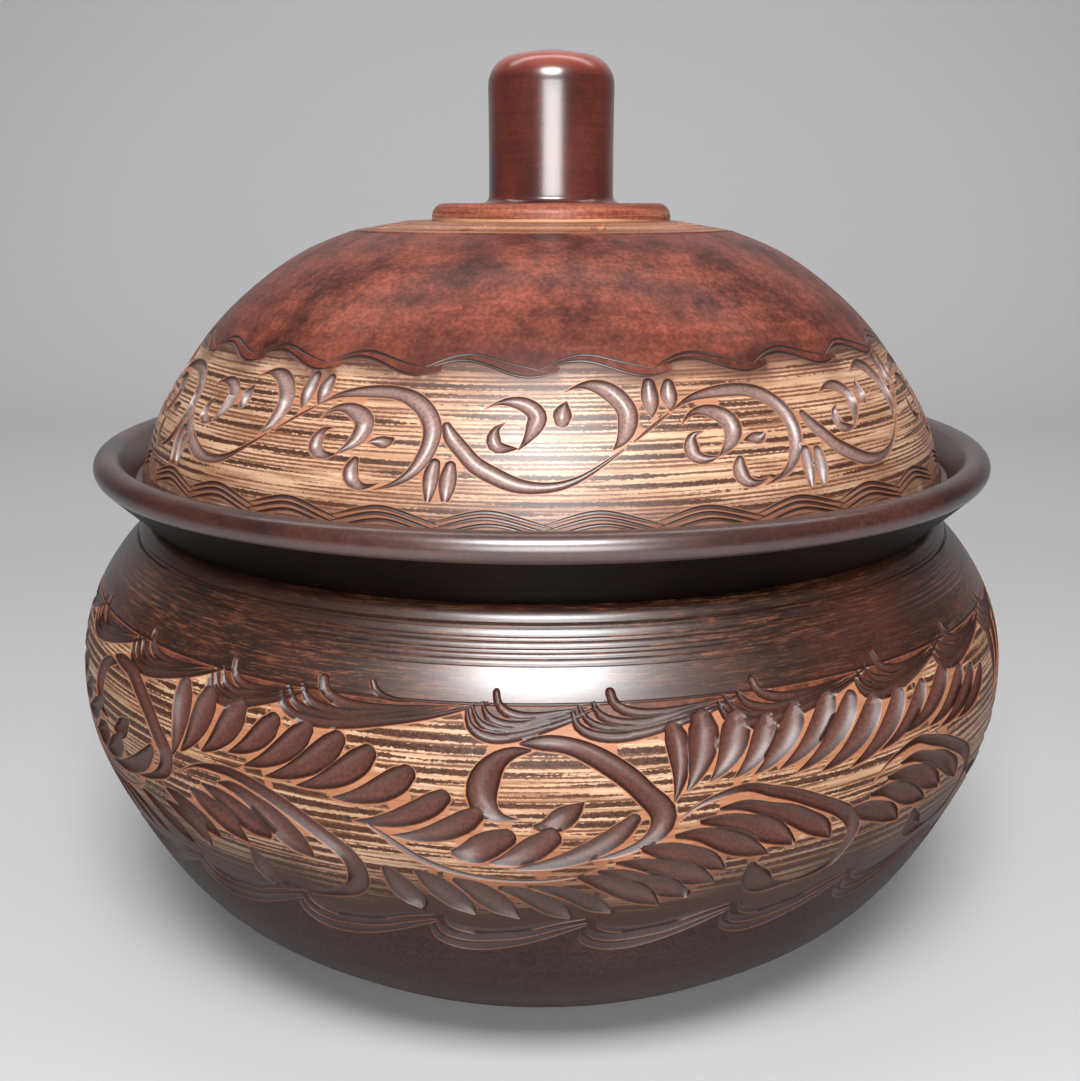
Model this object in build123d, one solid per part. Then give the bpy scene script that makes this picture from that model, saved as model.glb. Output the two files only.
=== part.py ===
from build123d import *
from math import acos, asin, atan2, cos, hypot, pi, radians, sin, sqrt
import os

# A hand-thrown red clay casserole: a round-bellied pot with a flared rim and a round lip,
# and a domed lid that drops onto a flat seat inside the rim. The lid's knob was thrown with
# its own foot disc and pressed onto the dome a little off the middle. A running vine is cut
# with a round gouge into a band round the belly and another round the lid.
# Millimetres, +Z up, origin on the table under the middle of the pot. Places of the carving
# are degrees round the pot from the front (-Y) towards +X, and shares of the wall's outline.

# Pot, from the table up
belly_radius = 140.0
belly_height = 85.0          # the widest point above the table
shoulder_rise = 43.5         # from the widest point up to the crease under the rim
foot_radius = 79.0           # the flat that the pot stands on
foot_rounding = 3.0
neck_inset = 22.0            # how far the crease under the rim lies inside the belly
pot_wall = 7.0
floor_thickness = 8.0
floor_rounding = 14.0
floor_rounding_share = 1.5    # of the slope beside it, where that is too short for the full size

# Turned roll just below the crease, with a groove under it
roll_width = 5.6
roll_bulge = 0.9
groove_width = 1.6

# Flared rim and round lip
lip_overhang = 11.2          # the lip's middle outside the crease
lip_rise = 16.1              # the lip's middle above the crease
lip_thickness = 7.8

# Seat for the lid, cut inside the rim
neck_wall = 6.5
seat_rise = 11.0             # above the crease
seat_overhang = 3.8          # the seat's outer corner outside the crease
seat_rounding = 1.0
mouth_rounding = 2.0

# Lid
lid_clearance = 1.4          # between the lid's edge and the rim, all round
seat_gap = 0.3               # under the lid's edge
lid_rise = 72.2              # from the lid's edge up to the flat that carries the knob
lid_wall = 6.0
lid_edge_rounding = 1.2
crest_radius = 56.0          # turned ring where the dome rolls over to the top
crest_drop = 2.7             # below the knob's flat
crest_groove_width = 1.4

# Knob and its foot disc
disc_radius = 35.5
disc_thickness = 5.0
disc_rounding = 2.2
disc_margin = 1.5            # flat left round the disc
knob_radius = 18.5
knob_height = 43.0
knob_rounding = 8.5
knob_crown = 1.4
knob_waist = 0.4             # how far the side draws in at half height
knob_foot_spread = 2.2
knob_offset = 2.8            # towards +X

# Gouges: the radius of the tool and how deep it goes at the middle of a cut
pot_leaf_gouge = 3.6
pot_leaf_depth = 2.0
pot_curl_gouge = 2.9
pot_curl_depth = 1.9
lid_leaf_gouge = 2.4
lid_leaf_depth = 1.2
lid_curl_gouge = 2.3
lid_curl_depth = 1.3

# Outline of the belly: share of the way from foot radius to belly radius, share of belly height
lower_belly_shares = [
    (0.213, 0.074), (0.405, 0.173), (0.552, 0.262), (0.650, 0.345),
    (0.785, 0.504), (0.895, 0.669), (0.977, 0.834), (1.0, 1.0),
]
# Outline of the shoulder: share of the way from neck radius to belly radius, share of the rise
shoulder_shares = [(0.965, 0.22), (0.840, 0.44), (0.640, 0.635), (0.345, 0.83), (0.0, 1.0)]
# Outline of the dome: share of the way from crest radius to the lid's radius, share of the rise
dome_shares = [
    (1.0, 0.0), (0.975, 0.075), (0.901, 0.265), (0.798, 0.420),
    (0.629, 0.624), (0.427, 0.794), (0.213, 0.922), (0.0, 1.0),
]

# Leaf cuts of the vine: where the gouge goes in, and where it runs out to a point
scroll_leaf_shares = [
    ((0.6, 0.816), (-0.3, 0.693)), ((4.7, 0.814), (1.2, 0.707)), ((9, 0.807), (4.4, 0.720)),
    ((13.5, 0.799), (8.1, 0.732)), ((17.3, 0.798), (10.1, 0.719)), ((20.8, 0.790), (12.7, 0.711)),
    ((24, 0.776), (16.3, 0.707)), ((27.9, 0.753), (20.1, 0.699)), ((31.4, 0.724), (22.2, 0.669)),
    ((34.4, 0.701), (25.9, 0.654)),
]
feather_leaf_shares = [
    ((0.7, 0.817), (0.7, 0.707)), ((3.8, 0.826), (1.9, 0.722)), ((7.4, 0.819), (4.2, 0.732)),
    ((10.8, 0.812), (6.6, 0.732)), ((14.1, 0.821), (8.6, 0.732)), ((18.3, 0.828), (11.3, 0.734)),
    ((21.1, 0.821), (13.2, 0.724)), ((24.3, 0.808), (16.1, 0.717)), ((28.1, 0.805), (19.7, 0.711)),
    ((32, 0.803), (23.7, 0.722)), ((36.7, 0.811), (27.9, 0.735)), ((40.3, 0.793), (31.9, 0.729)),
    ((43.3, 0.782), (34.1, 0.719)), ((46.3, 0.767), (38.1, 0.716)),
]
lid_leaf_shares = [
    ((26.1, 0.431), (25.7, 0.329)), ((28.9, 0.427), (28.2, 0.340)),
    ((45.9, 0.229), (45.6, 0.121)), ((48, 0.225), (47.7, 0.123)),
]
# Curls of the vine: where the gouge starts, where it is deepest and where it ends
scroll_curl_shares = [
    ((38.6, 0.786), (34.5, 0.740), (37, 0.693)), ((38.5, 0.799), (50.5, 0.734), (45.5, 0.628)),
    ((6, 0.701), (19.5, 0.634), (17, 0.519)),
]
feather_curl_shares = [
    ((6, 0.710), (19, 0.647), (15.5, 0.532)), ((28, 0.710), (41, 0.647), (37.5, 0.532)),
]
lid_curl_shares = [
    ((-0.5, 0.324), (7, 0.182), (17, 0.197)), ((5.5, 0.367), (11.3, 0.329), (9.2, 0.253)),
    ((15.6, 0.409), (22.4, 0.359), (20.4, 0.253)), ((30, 0.364), (43.8, 0.344), (41, 0.157)),
    ((29.6, 0.322), (35.9, 0.304), (33.3, 0.223)),
]
# Where each fan of the pot's vine and each unit of the lid's vine starts, round the pot
scroll_fan_turns = (-92.5, -40, 63, 165.7)
feather_fan_turns = (-143, 11.4, 114.3)
lid_vine_turns = (-146.5, -102.5, -58.5, -12, 35.4, 81, 125, 169)

# Worked out from the sizes above
neck_radius = belly_radius - neck_inset
neck_height = belly_height + shoulder_rise
lip_radius = lip_thickness / 2
lip_middle = (neck_radius + lip_overhang, neck_height + lip_rise)
mouth_radius = neck_radius - neck_wall
seat_height = neck_height + seat_rise
seat_radius = neck_radius + seat_overhang
lid_radius = seat_radius - lid_clearance
lid_base = seat_height + seat_gap
lid_top = lid_base + lid_rise
crest_height = lid_top - crest_drop
disc_seat_radius = disc_radius + knob_offset + disc_margin
disc_top = lid_top + disc_thickness
knob_top = disc_top + knob_height


def turned(section):
    """The solid that a section, drawn as radius and height, sweeps round the vertical axis."""
    return revolve(Plane.XZ * section, axis=Axis.Z)


def inset(points, before, after, distance):
    """Points of an outline moved left of its direction, square to the line through neighbours."""
    chain = [before] + points + [after]
    moved = []
    for last, here, following in zip(chain, chain[1:], chain[2:]):
        run, rise = following[0] - last[0], following[1] - last[1]
        length = hypot(run, rise)
        moved.append((here[0] - distance * rise / length, here[1] + distance * run / length))
    return moved


def along(start, end, distance):
    """The point at a distance from start, towards end."""
    share = distance / hypot(end[0] - start[0], end[1] - start[1])
    return (start[0] + share * (end[0] - start[0]), start[1] + share * (end[1] - start[1]))


def touching_angle(start, middle, radius, side):
    """Where on a circle a line from start just touches it, left (1) or right (-1) of its middle."""
    run, rise = middle[0] - start[0], middle[1] - start[1]
    return atan2(rise, run) + side * (asin(radius / hypot(run, rise)) + pi / 2)


def on_circle(middle, radius, angle):
    """The point of a circle at an angle."""
    return (middle[0] + radius * cos(angle), middle[1] + radius * sin(angle))


def round_corner(section, corner, radius):
    """The section with the corner nearest to the given point rounded."""
    nearest = section.vertices().sort_by_distance(Vector(*corner))[0]
    return fillet(nearest, radius)


def belly_points():
    """Outer outline of the belly and shoulder, above the foot and up to the crease."""
    lower = [(foot_radius + out * (belly_radius - foot_radius), up * belly_height)
             for out, up in lower_belly_shares]
    upper = [(neck_radius + out * (belly_radius - neck_radius), belly_height + up * shoulder_rise)
             for out, up in shoulder_shares]
    return lower + upper


def rim_edges(crease, seat_outer, seat_inner):
    """Flared rim, from the crease round the lip to the seat and the mouth."""
    under_angle = touching_angle(crease, lip_middle, lip_radius, -1)
    inner_angle = touching_angle(seat_outer, lip_middle, lip_radius, 1)
    under = on_circle(lip_middle, lip_radius, under_angle)
    crown = on_circle(lip_middle, lip_radius, (under_angle + inner_angle) / 2)
    inner = on_circle(lip_middle, lip_radius, inner_angle)
    return [
        Line(crease, under),
        ThreePointArc(under, crown, inner),
        Line(inner, seat_outer),
        Line(seat_outer, seat_inner),
        Line(seat_inner, (mouth_radius, neck_height)),
    ]


def neck_roll(crease, below):
    """Section of the roll between the crease and the groove, and of the groove."""
    foot = along(crease, below, roll_width)
    half = along(crease, below, roll_width / 2)
    bulge = inset([half], below, crease, -roll_bulge)[0]
    roll = make_face([ThreePointArc(crease, bulge, foot), Line(foot, crease)])
    groove = Pos(*foot) * Circle(groove_width / 2)
    return roll, groove


def pot_outline():
    """Outer outline of the pot's wall, from the foot up to the crease."""
    return Spline((foot_radius, 0), *belly_points())


def pot_section():
    """Section of the pot's floor, wall, rim and seat."""
    foot_edge = (foot_radius, 0)
    outer = belly_points()
    crease = outer[-1]
    inner = inset(outer, foot_edge, (mouth_radius, neck_height + shoulder_rise), pot_wall)
    inner = [point for point in inner if point[1] > floor_thickness]
    inner_foot = (foot_radius, floor_thickness)
    seat_outer = (seat_radius, seat_height)
    seat_inner = (mouth_radius, seat_height)
    edges = [Line((0, 0), foot_edge), pot_outline()]
    edges += rim_edges(crease, seat_outer, seat_inner)
    edges += [
        Line((mouth_radius, neck_height), inner[-1]),
        Spline(*reversed(inner)),
        Line(inner[0], inner_foot),
        Line(inner_foot, (0, floor_thickness)),
        Line((0, floor_thickness), (0, 0)),
    ]
    slope = hypot(inner[0][0] - inner_foot[0], inner[0][1] - inner_foot[1])
    section = make_face(edges)
    section = round_corner(section, foot_edge, foot_rounding)
    section = round_corner(section, inner_foot, min(floor_rounding, floor_rounding_share * slope))
    section = round_corner(section, seat_outer, seat_rounding)
    section = round_corner(section, seat_inner, mouth_rounding)
    roll, groove = neck_roll(crease, outer[-2])
    return section + roll - groove


def dome_points():
    """Outer outline of the dome, from the lid's edge up to the turned ring."""
    rise = crest_height - lid_base
    return [(crest_radius + out * (lid_radius - crest_radius), lid_base + up * rise)
            for out, up in dome_shares]


def lid_section():
    """Section of the domed lid, open below."""
    outer = dome_points()
    edge, crest = outer[0], outer[-1]
    flat = (disc_seat_radius, lid_top)
    below = (lid_radius, lid_base - lid_wall)
    inner = inset(outer, below, flat, lid_wall)
    inner_edge = (inner[0][0], lid_base)
    edges = [
        Spline(*outer),
        Line(crest, flat),
        Line(flat, (0, lid_top)),
        Line((0, lid_top), (0, lid_top - lid_wall)),
        Line((0, lid_top - lid_wall), inner[-1]),
        Spline(*reversed(inner[1:]), inner_edge),
        Line(inner_edge, edge),
    ]
    section = make_face(edges)
    section = round_corner(section, edge, lid_edge_rounding)
    section = round_corner(section, inner_edge, lid_edge_rounding)
    return section - Pos(*crest) * Circle(crest_groove_width / 2)


def knob_section():
    """Section of the knob and its foot disc."""
    side_top = knob_top - knob_crown - knob_rounding
    side_foot = disc_top + knob_foot_spread
    waist = (knob_radius - knob_waist, (side_top + side_foot) / 2)
    shoulder = (knob_radius - knob_rounding, knob_top - knob_crown)
    bend = knob_rounding * sin(pi / 4)
    crown_radius = (shoulder[0] ** 2 + knob_crown**2) / (2 * knob_crown)
    crown_middle = (0, knob_top - crown_radius)
    crown_angle = (pi / 2 + asin((shoulder[1] - crown_middle[1]) / crown_radius)) / 2
    edges = [
        Line((0, lid_top), (disc_radius, lid_top)),
        Line((disc_radius, lid_top), (disc_radius, disc_top)),
        Line((disc_radius, disc_top), (knob_radius + knob_foot_spread, disc_top)),
        Line((knob_radius + knob_foot_spread, disc_top), (knob_radius, side_foot)),
        ThreePointArc((knob_radius, side_foot), waist, (knob_radius, side_top)),
        ThreePointArc((knob_radius, side_top), (shoulder[0] + bend, side_top + bend), shoulder),
        ThreePointArc(shoulder, on_circle(crown_middle, crown_radius, crown_angle), (0, knob_top)),
        Line((0, knob_top), (0, lid_top)),
    ]
    section = make_face(edges)
    section = round_corner(section, (disc_radius, disc_top), disc_rounding)
    return round_corner(section, (knob_radius, side_foot), knob_foot_spread)


def wall_place(outline, turn, share):
    """A point on a turned wall, and the way straight out of the wall there."""
    here, ahead = outline.position_at(share), outline.tangent_at(share)
    across, back = sin(radians(turn)), -cos(radians(turn))
    point = Vector(here.X * across, here.X * back, here.Y)
    return point, Vector(ahead.Y * across, ahead.Y * back, -ahead.X)


def leaf_cut(outline, head, tail, gouge, depth):
    """The space of a leaf cut: a ball at its head, drawn out to a point at its tail."""
    start, out = wall_place(outline, *head)
    tip, _ = wall_place(outline, *tail)
    half_width = sqrt(gouge**2 - (gouge - depth) ** 2)
    middle = start + (tip - start).normalized() * half_width + out * (gouge - depth)
    axis = tip - middle
    touch = acos(gouge / axis.length)
    point, back = (axis.length, 0), (-gouge, 0)
    side, bend = (on_circle((0, 0), gouge, angle) for angle in (touch, (touch + pi) / 2))
    section = make_face([Line(back, point), Line(point, side), ThreePointArc(side, bend, back)])
    place = Plane(origin=middle, x_dir=axis, z_dir=axis.cross(out))
    return place * revolve(section, axis=Axis.X)


def curl_cut(outline, start, deepest, end, gouge, depth):
    """The space of a curl: a ring that touches the wall at both ends and dips in between."""
    lifts = (gouge, gouge - depth, gouge)
    places = [wall_place(outline, *place) for place in (start, deepest, end)]
    first, low, last = (point + out * lift for (point, out), lift in zip(places, lifts))
    bend = ThreePointArc(first, low, last)
    across = (first - low).cross(last - low)
    place = Plane(origin=bend.arc_center, x_dir=low - bend.arc_center, z_dir=across)
    return place * Torus(bend.radius, gouge)


def vine_cuts(outline, cut, tool, stretches):
    """The cuts that one tool makes: a row of them for each stretch of vine, turned to its start."""
    return [cut(outline, *[(degrees + turn, share) for degrees, share in places], *tool)
            for rows, turn in stretches for places in rows]


def carved_pot():
    """The pot with its vine: two kinds of leafy fan that take turns, leaves first, then curls."""
    outline = pot_outline()
    leaves = [(scroll_leaf_shares, turn) for turn in scroll_fan_turns]
    leaves += [(feather_leaf_shares, turn) for turn in feather_fan_turns]
    curls = [(scroll_curl_shares, turn) for turn in scroll_fan_turns]
    curls += [(feather_curl_shares, turn) for turn in feather_fan_turns]
    pot = turned(pot_section())
    pot -= vine_cuts(outline, leaf_cut, (pot_leaf_gouge, pot_leaf_depth), leaves)
    return pot - vine_cuts(outline, curl_cut, (pot_curl_gouge, pot_curl_depth), curls)


def carved_lid():
    """The domed lid with its vine of commas, loops and pairs of small leaves."""
    outline = Spline(*dome_points())
    leaves = [(lid_leaf_shares, turn) for turn in lid_vine_turns]
    curls = [(lid_curl_shares, turn) for turn in lid_vine_turns]
    lid = turned(lid_section())
    lid -= vine_cuts(outline, leaf_cut, (lid_leaf_gouge, lid_leaf_depth), leaves)
    return lid - vine_cuts(outline, curl_cut, (lid_curl_gouge, lid_curl_depth), curls)


def make_parts():
    """Every piece of the casserole by its name."""
    return {
        "pot_body": carved_pot(),
        "lid_dome": carved_lid(),
        "lid_knob": Pos(knob_offset, 0, 0) * turned(knob_section()),
    }


os.makedirs("parts", exist_ok=True)
for name, solid in make_parts().items():
    export_step(solid, f"parts/{name}.step")
    print(name, round(solid.volume), solid.is_valid)
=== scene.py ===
# %% [markdown]
# # A carved clay casserole
# The real pot was thrown on a wheel from red clay, and so was its lid. While the clay was still
# leather-hard, bands round both were scratched pale with a comb and then cut with a loop tool
# into vines, leaves and waves. Smoke and wax turned the rest dark brown.
# The scene follows the same order: turn the walls, cut the bands, then colour the clay.
# The CAD frame comes first, because every piece has to lie where its solid lies.

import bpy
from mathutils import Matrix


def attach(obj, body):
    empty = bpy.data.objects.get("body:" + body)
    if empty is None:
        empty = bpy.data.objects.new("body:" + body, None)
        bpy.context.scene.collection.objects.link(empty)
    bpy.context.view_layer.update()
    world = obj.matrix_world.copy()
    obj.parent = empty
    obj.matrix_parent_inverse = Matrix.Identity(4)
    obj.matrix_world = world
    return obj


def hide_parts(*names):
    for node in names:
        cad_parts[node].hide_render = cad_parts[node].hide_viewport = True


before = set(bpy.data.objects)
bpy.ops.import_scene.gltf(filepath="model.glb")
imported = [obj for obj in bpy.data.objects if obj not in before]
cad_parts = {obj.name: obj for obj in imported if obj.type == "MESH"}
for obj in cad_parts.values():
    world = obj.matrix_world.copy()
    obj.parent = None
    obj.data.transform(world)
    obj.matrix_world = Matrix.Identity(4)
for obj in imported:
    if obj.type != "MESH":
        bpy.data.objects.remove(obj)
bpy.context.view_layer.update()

# %% [markdown]
# ## Outlines
# A turned pot is one outline swept round an axis, so the outline is all that has to be right.
# The CAD draws it as splines through a few points, given as shares of the pot's own sizes. The
# same sizes and shares are used here, so both models have the same walls.
# Lengths are in millimetres until a mesh is made.

# %% Tools for outlines
from math import asin, atan2, cos, hypot, pi, radians, sin

import bmesh
import bpy
import numpy as np
from mathutils import Vector
from mathutils.bvhtree import BVHTree
from mathutils.geometry import delaunay_2d_cdt

MM = 0.001
FULL_TURN = 360.0
TURNS = 240


def smooth_line(points, step):
    """Points about a step apart on the natural spline through the given ones.

    The first two columns are the place; a third one, such as a width, is smoothed with them.
    """
    knots = np.array(points, float)
    chord = np.concatenate([[0], np.cumsum(np.hypot(*np.diff(knots[:, :2], axis=0).T))])
    gap, last = np.diff(chord), len(knots) - 1
    system, pull = np.eye(last + 1), np.zeros(knots.shape)
    slope = np.diff(knots, axis=0) / gap[:, None]
    for i in range(1, last):
        system[i, i - 1:i + 2] = gap[i - 1], 2 * (gap[i - 1] + gap[i]), gap[i]
        pull[i] = 6 * (slope[i] - slope[i - 1])
    bend = np.linalg.solve(system, pull)
    at = np.linspace(0, chord[-1], max(3, round(chord[-1] / step) + 1))
    k = np.clip(np.searchsorted(chord, at, side="right") - 1, 0, last - 1)
    size = gap[k][:, None]
    b = (at - chord[k])[:, None] / size
    a = 1 - b
    line = a * knots[k] + b * knots[k + 1]
    return line + ((a**3 - a) * bend[k] + (b**3 - b) * bend[k + 1]) * size**2 / 6


def arc(middle, radius, start, end, count):
    """Points of an arc, from one angle to another."""
    angles = np.linspace(start, end, count)
    return [(middle[0] + radius * cos(a), middle[1] + radius * sin(a)) for a in angles]


def rounded(before, corner, after, radius, count=5):
    """Points that replace a corner by an arc."""
    a, b, c = (np.array(p, float) for p in (before, corner, after))
    u, v = (a - b) / np.linalg.norm(a - b), (c - b) / np.linalg.norm(c - b)
    half = np.arccos(np.clip(u @ v, -1, 1)) / 2
    middle = b + (u + v) / np.linalg.norm(u + v) * radius / np.sin(half)
    first, last = b + u * radius / np.tan(half), b + v * radius / np.tan(half)
    start, end = (atan2(*(p - middle)[::-1]) for p in (first, last))
    end = start + (end - start + pi) % (2 * pi) - pi
    return arc(middle, radius, start, end, count)


class Wall:
    """A turned wall's outside: places on it by millimetres along the outline."""

    def __init__(self, points):
        self.line = smooth_line(points, 0.25)[:, :2]
        steps = np.hypot(*np.diff(self.line, axis=0).T)
        self.along = np.concatenate([[0], np.cumsum(steps)])
        ahead = np.gradient(self.line, self.along, axis=0)
        self.out = np.column_stack([ahead[:, 1], -ahead[:, 0]])
        self.out /= np.hypot(*self.out.T)[:, None]
        self.length = self.along[-1]

    def at(self, s, sunk=0.0):
        """Radius and height at s, sunk into the clay."""
        place = [np.interp(s, self.along, column) for column in self.line.T]
        out = [np.interp(s, self.along, column) for column in self.out.T]
        return np.column_stack([p - sunk * o for p, o in zip(place, out)])

    def normal_at_height(self, z):
        """Outward direction at a height, as radius and height."""
        return np.column_stack([np.interp(z, self.line[:, 1], c) for c in self.out.T])

# %% [markdown]
# ### The pot's outline
# From the table up: a flat foot, a round belly, a shoulder with a burnished roll under the
# rim, a flared rim with a round lip, and inside it the seat that the lid drops onto. The
# outline then runs down the inside to the floor, so the wall is one closed skin.

# %% Outline of the pot
belly_radius, belly_height = 140.0, 85.0
neck_radius, neck_height = 118.0, 128.5
foot_radius, foot_bevel = 79.0, 0.64
pot_wall, floor_thickness, floor_rounding = 7.0, 8.0, 14.0
roll_width, roll_bulge, groove_depth = 5.6, 0.9, 0.7
lip_middle, lip_radius = (129.2, 144.6), 3.9
mouth_radius, mouth_rounding = 111.5, 2.0
seat_radius, seat_height, seat_rounding = 121.8, 139.5, 1.0

lower_belly_shares = [
    (0.0, 0.0), (0.213, 0.074), (0.405, 0.173), (0.552, 0.262), (0.650, 0.345),
    (0.785, 0.504), (0.895, 0.669), (0.977, 0.834), (1.0, 1.0),
]
shoulder_shares = [(0.965, 0.22), (0.840, 0.44), (0.640, 0.635), (0.345, 0.83), (0.0, 1.0)]


def between(low, high, share):
    """The value at a share of the way from low to high."""
    return low + share * (high - low)


belly_points = [(between(foot_radius, belly_radius, out), up * belly_height)
                for out, up in lower_belly_shares]
belly_points += [(between(neck_radius, belly_radius, out), between(belly_height, neck_height, up))
                 for out, up in shoulder_shares]
pot_outside = Wall(belly_points)
print("pot wall, foot to crease:", round(pot_outside.length, 1), "mm")


# %% Rim, roll and inside of the pot
def touching(start, middle, radius, side):
    """Angle on a circle where a line from start just touches it, left (1) or right (-1)."""
    run, rise = middle[0] - start[0], middle[1] - start[1]
    return atan2(rise, run) + side * (asin(radius / hypot(run, rise)) + pi / 2)


def inset(points, distance):
    """A line of points moved left of its direction."""
    line = np.array(points, float)
    ahead = np.gradient(line, axis=0)
    left = np.column_stack([-ahead[:, 1], ahead[:, 0]]) / np.hypot(*ahead.T)[:, None]
    return line + distance * left


crease = (neck_radius, neck_height)
roll_foot = pot_outside.length - roll_width
seat_outer, seat_inner = (seat_radius, seat_height), (mouth_radius, seat_height)
under_angle = touching(crease, lip_middle, lip_radius, -1)
inner_angle = touching(seat_outer, lip_middle, lip_radius, 1)
lip = arc(lip_middle, lip_radius, under_angle, inner_angle, 18)

groove_middle = pot_outside.at(roll_foot)[0]
roll_run = np.array(crease) - groove_middle
roll_left = np.array([roll_run[1], -roll_run[0]]) / np.hypot(*roll_run)
roll = [groove_middle + share * roll_run + roll_left * roll_bulge * 4 * share * (1 - share)
        for share in np.linspace(0.12, 1, 9)]
groove = pot_outside.at(np.array([roll_foot - 0.4, roll_foot, roll_foot + 0.3]), sunk=groove_depth)

rim = [crease, *lip, *rounded(lip[-1], seat_outer, seat_inner, seat_rounding)]
rim += rounded(seat_outer, seat_inner, (mouth_radius, neck_height), mouth_rounding)
floor_end = 24.0  # up the outside, level with where the floor's rounding ends inside
inner_wall = inset(pot_outside.at(np.arange(floor_end, pot_outside.length - 5, 5)), pot_wall)[::-1]
floor_corner = (foot_radius, floor_thickness)
inside = [(mouth_radius, neck_height + 3), (mouth_radius - 0.1, neck_height - 3), *inner_wall]
inside += rounded(inner_wall[-1], floor_corner, (0, floor_thickness), floor_rounding, 7)
inside += [(foot_radius / 2, floor_thickness), (0, floor_thickness)]

# %% [markdown]
# ### The lid's outline
# The dome rises from its edge to a turned ring, rolls over to a small flat, and is hollow
# below. The knob and its foot disc were thrown by themselves and stuck on a little to one
# side, as on the real pot.

# %% Outline of the lid and the knob
lid_radius, lid_base, lid_top = 120.4, 139.8, 212.0
lid_wall, lid_edge_rounding, hollow_flat = 6.0, 1.2, 48.0
crest_radius, crest_height, crest_groove = 56.0, 209.3, 0.7
disc_radius, disc_top, disc_rounding, disc_margin = 35.5, 217.0, 3.6, 1.5
knob_radius, knob_top, knob_rounding, knob_crown = 18.5, 260.0, 8.5, 1.4
knob_waist, knob_waist_height, knob_foot_spread, knob_offset = 0.1, 232.0, 2.2, 2.8
dome_shares = [
    (1.0, 0.0), (0.975, 0.075), (0.901, 0.265), (0.798, 0.420),
    (0.629, 0.624), (0.427, 0.794), (0.213, 0.922), (0.0, 1.0),
]
dome_points = [(between(crest_radius, lid_radius, out), between(lid_base, crest_height, up))
               for out, up in dome_shares]
lid_outside = Wall(dome_points)
print("lid wall, edge to ring:", round(lid_outside.length, 1), "mm")

flat_edge = (disc_radius + knob_offset + disc_margin, lid_top)
ring_groove = [
    (crest_radius + 0.6, crest_height - 0.35), (crest_radius, crest_height - crest_groove),
    (crest_radius - 0.7, crest_height + 0.1),
]
lid_inside = inset(lid_outside.at(np.arange(4.0, lid_outside.length, 6)), lid_wall)[::-1]
lid_under = [(0, lid_top - lid_wall), (hollow_flat, lid_top - lid_wall), *lid_inside]
inner_edge = (lid_radius - lid_wall, lid_base)
lid_edge = rounded(lid_inside[-1], inner_edge, (lid_radius, lid_base), lid_edge_rounding)
lid_edge += rounded(inner_edge, (lid_radius, lid_base), lid_outside.at(3.0)[0], lid_edge_rounding)

side_top, side_foot = knob_top - knob_crown - knob_rounding, disc_top + knob_foot_spread
knob_side = smooth_line([
    (knob_radius, side_foot), (knob_radius - knob_waist, knob_waist_height),
    (knob_radius, side_top)], 4)
crown_edge = knob_radius - knob_rounding
disc_foot, disc_edge = (disc_radius, lid_top), (disc_radius, disc_top)
knob_outline = [(0, lid_top), (disc_radius / 2, lid_top), disc_foot]
knob_outline += rounded(disc_foot, disc_edge, (0, disc_top), disc_rounding)
knob_outline += arc((knob_radius + knob_foot_spread, side_foot), knob_foot_spread, -pi / 2, -pi, 6)
knob_outline += [tuple(p) for p in knob_side[1:-1]]
knob_outline += arc((crown_edge, side_top), knob_rounding, 0, pi / 2, 10)
knob_outline += [(crown_edge * share, knob_top - knob_crown * share**2)
                 for share in (0.75, 0.5, 0.25, 0)]

# %% [markdown]
# ## Turning with Geometry Nodes
# Blender can turn an outline with the Screw modifier or the Spin tool. A node tree does the
# same and keeps its sizes as named inputs: it makes a flat grid, one column for each step of
# the wheel, and lays every column on the outline, turned by its own angle. Merge by Distance
# closes the seam at the back and the points on the axis.

# %% The turning tree
def new_tree(name, inputs):
    """A geometry node tree with the given inputs, its input and output nodes."""
    tree = bpy.data.node_groups.new(name, "GeometryNodeTree")
    for label, kind in inputs:
        tree.interface.new_socket(label, in_out="INPUT", socket_type=kind)
    tree.interface.new_socket("Geometry", in_out="OUTPUT", socket_type="NodeSocketGeometry")
    return tree, tree.nodes.new("NodeGroupInput"), tree.nodes.new("NodeGroupOutput")


def add_node(tree, kind, links=(), **settings):
    """A node with its settings, and its inputs linked or given a value by name or number."""
    node = tree.nodes.new(kind)
    for key, value in settings.items():
        setattr(node, key, value)
    for key, value in dict(links).items():
        if isinstance(value, bpy.types.NodeSocket):
            tree.links.new(value, node.inputs[key])
        else:
            node.inputs[key].default_value = value
    return node


def finish_tree(tree, geometry, material, output):
    """Ends a tree as the export needs: real geometry, smooth, with its material."""
    smooth = add_node(tree, "GeometryNodeSetShadeSmooth", {"Geometry": geometry})
    real = add_node(tree, "GeometryNodeRealizeInstances", {"Geometry": smooth.outputs[0]})
    clay = add_node(tree, "GeometryNodeSetMaterial", {
        "Geometry": real.outputs[0], "Material": material})
    tree.links.new(clay.outputs[0], output.inputs[0])


def math_node(tree, operation, first, second=0.0):
    """The result of an operation on one or two values."""
    return add_node(tree, "ShaderNodeMath", {0: first, 1: second}, operation=operation).outputs[0]


SEAM = 1e-5  # metres within which points of the seam are one

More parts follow.
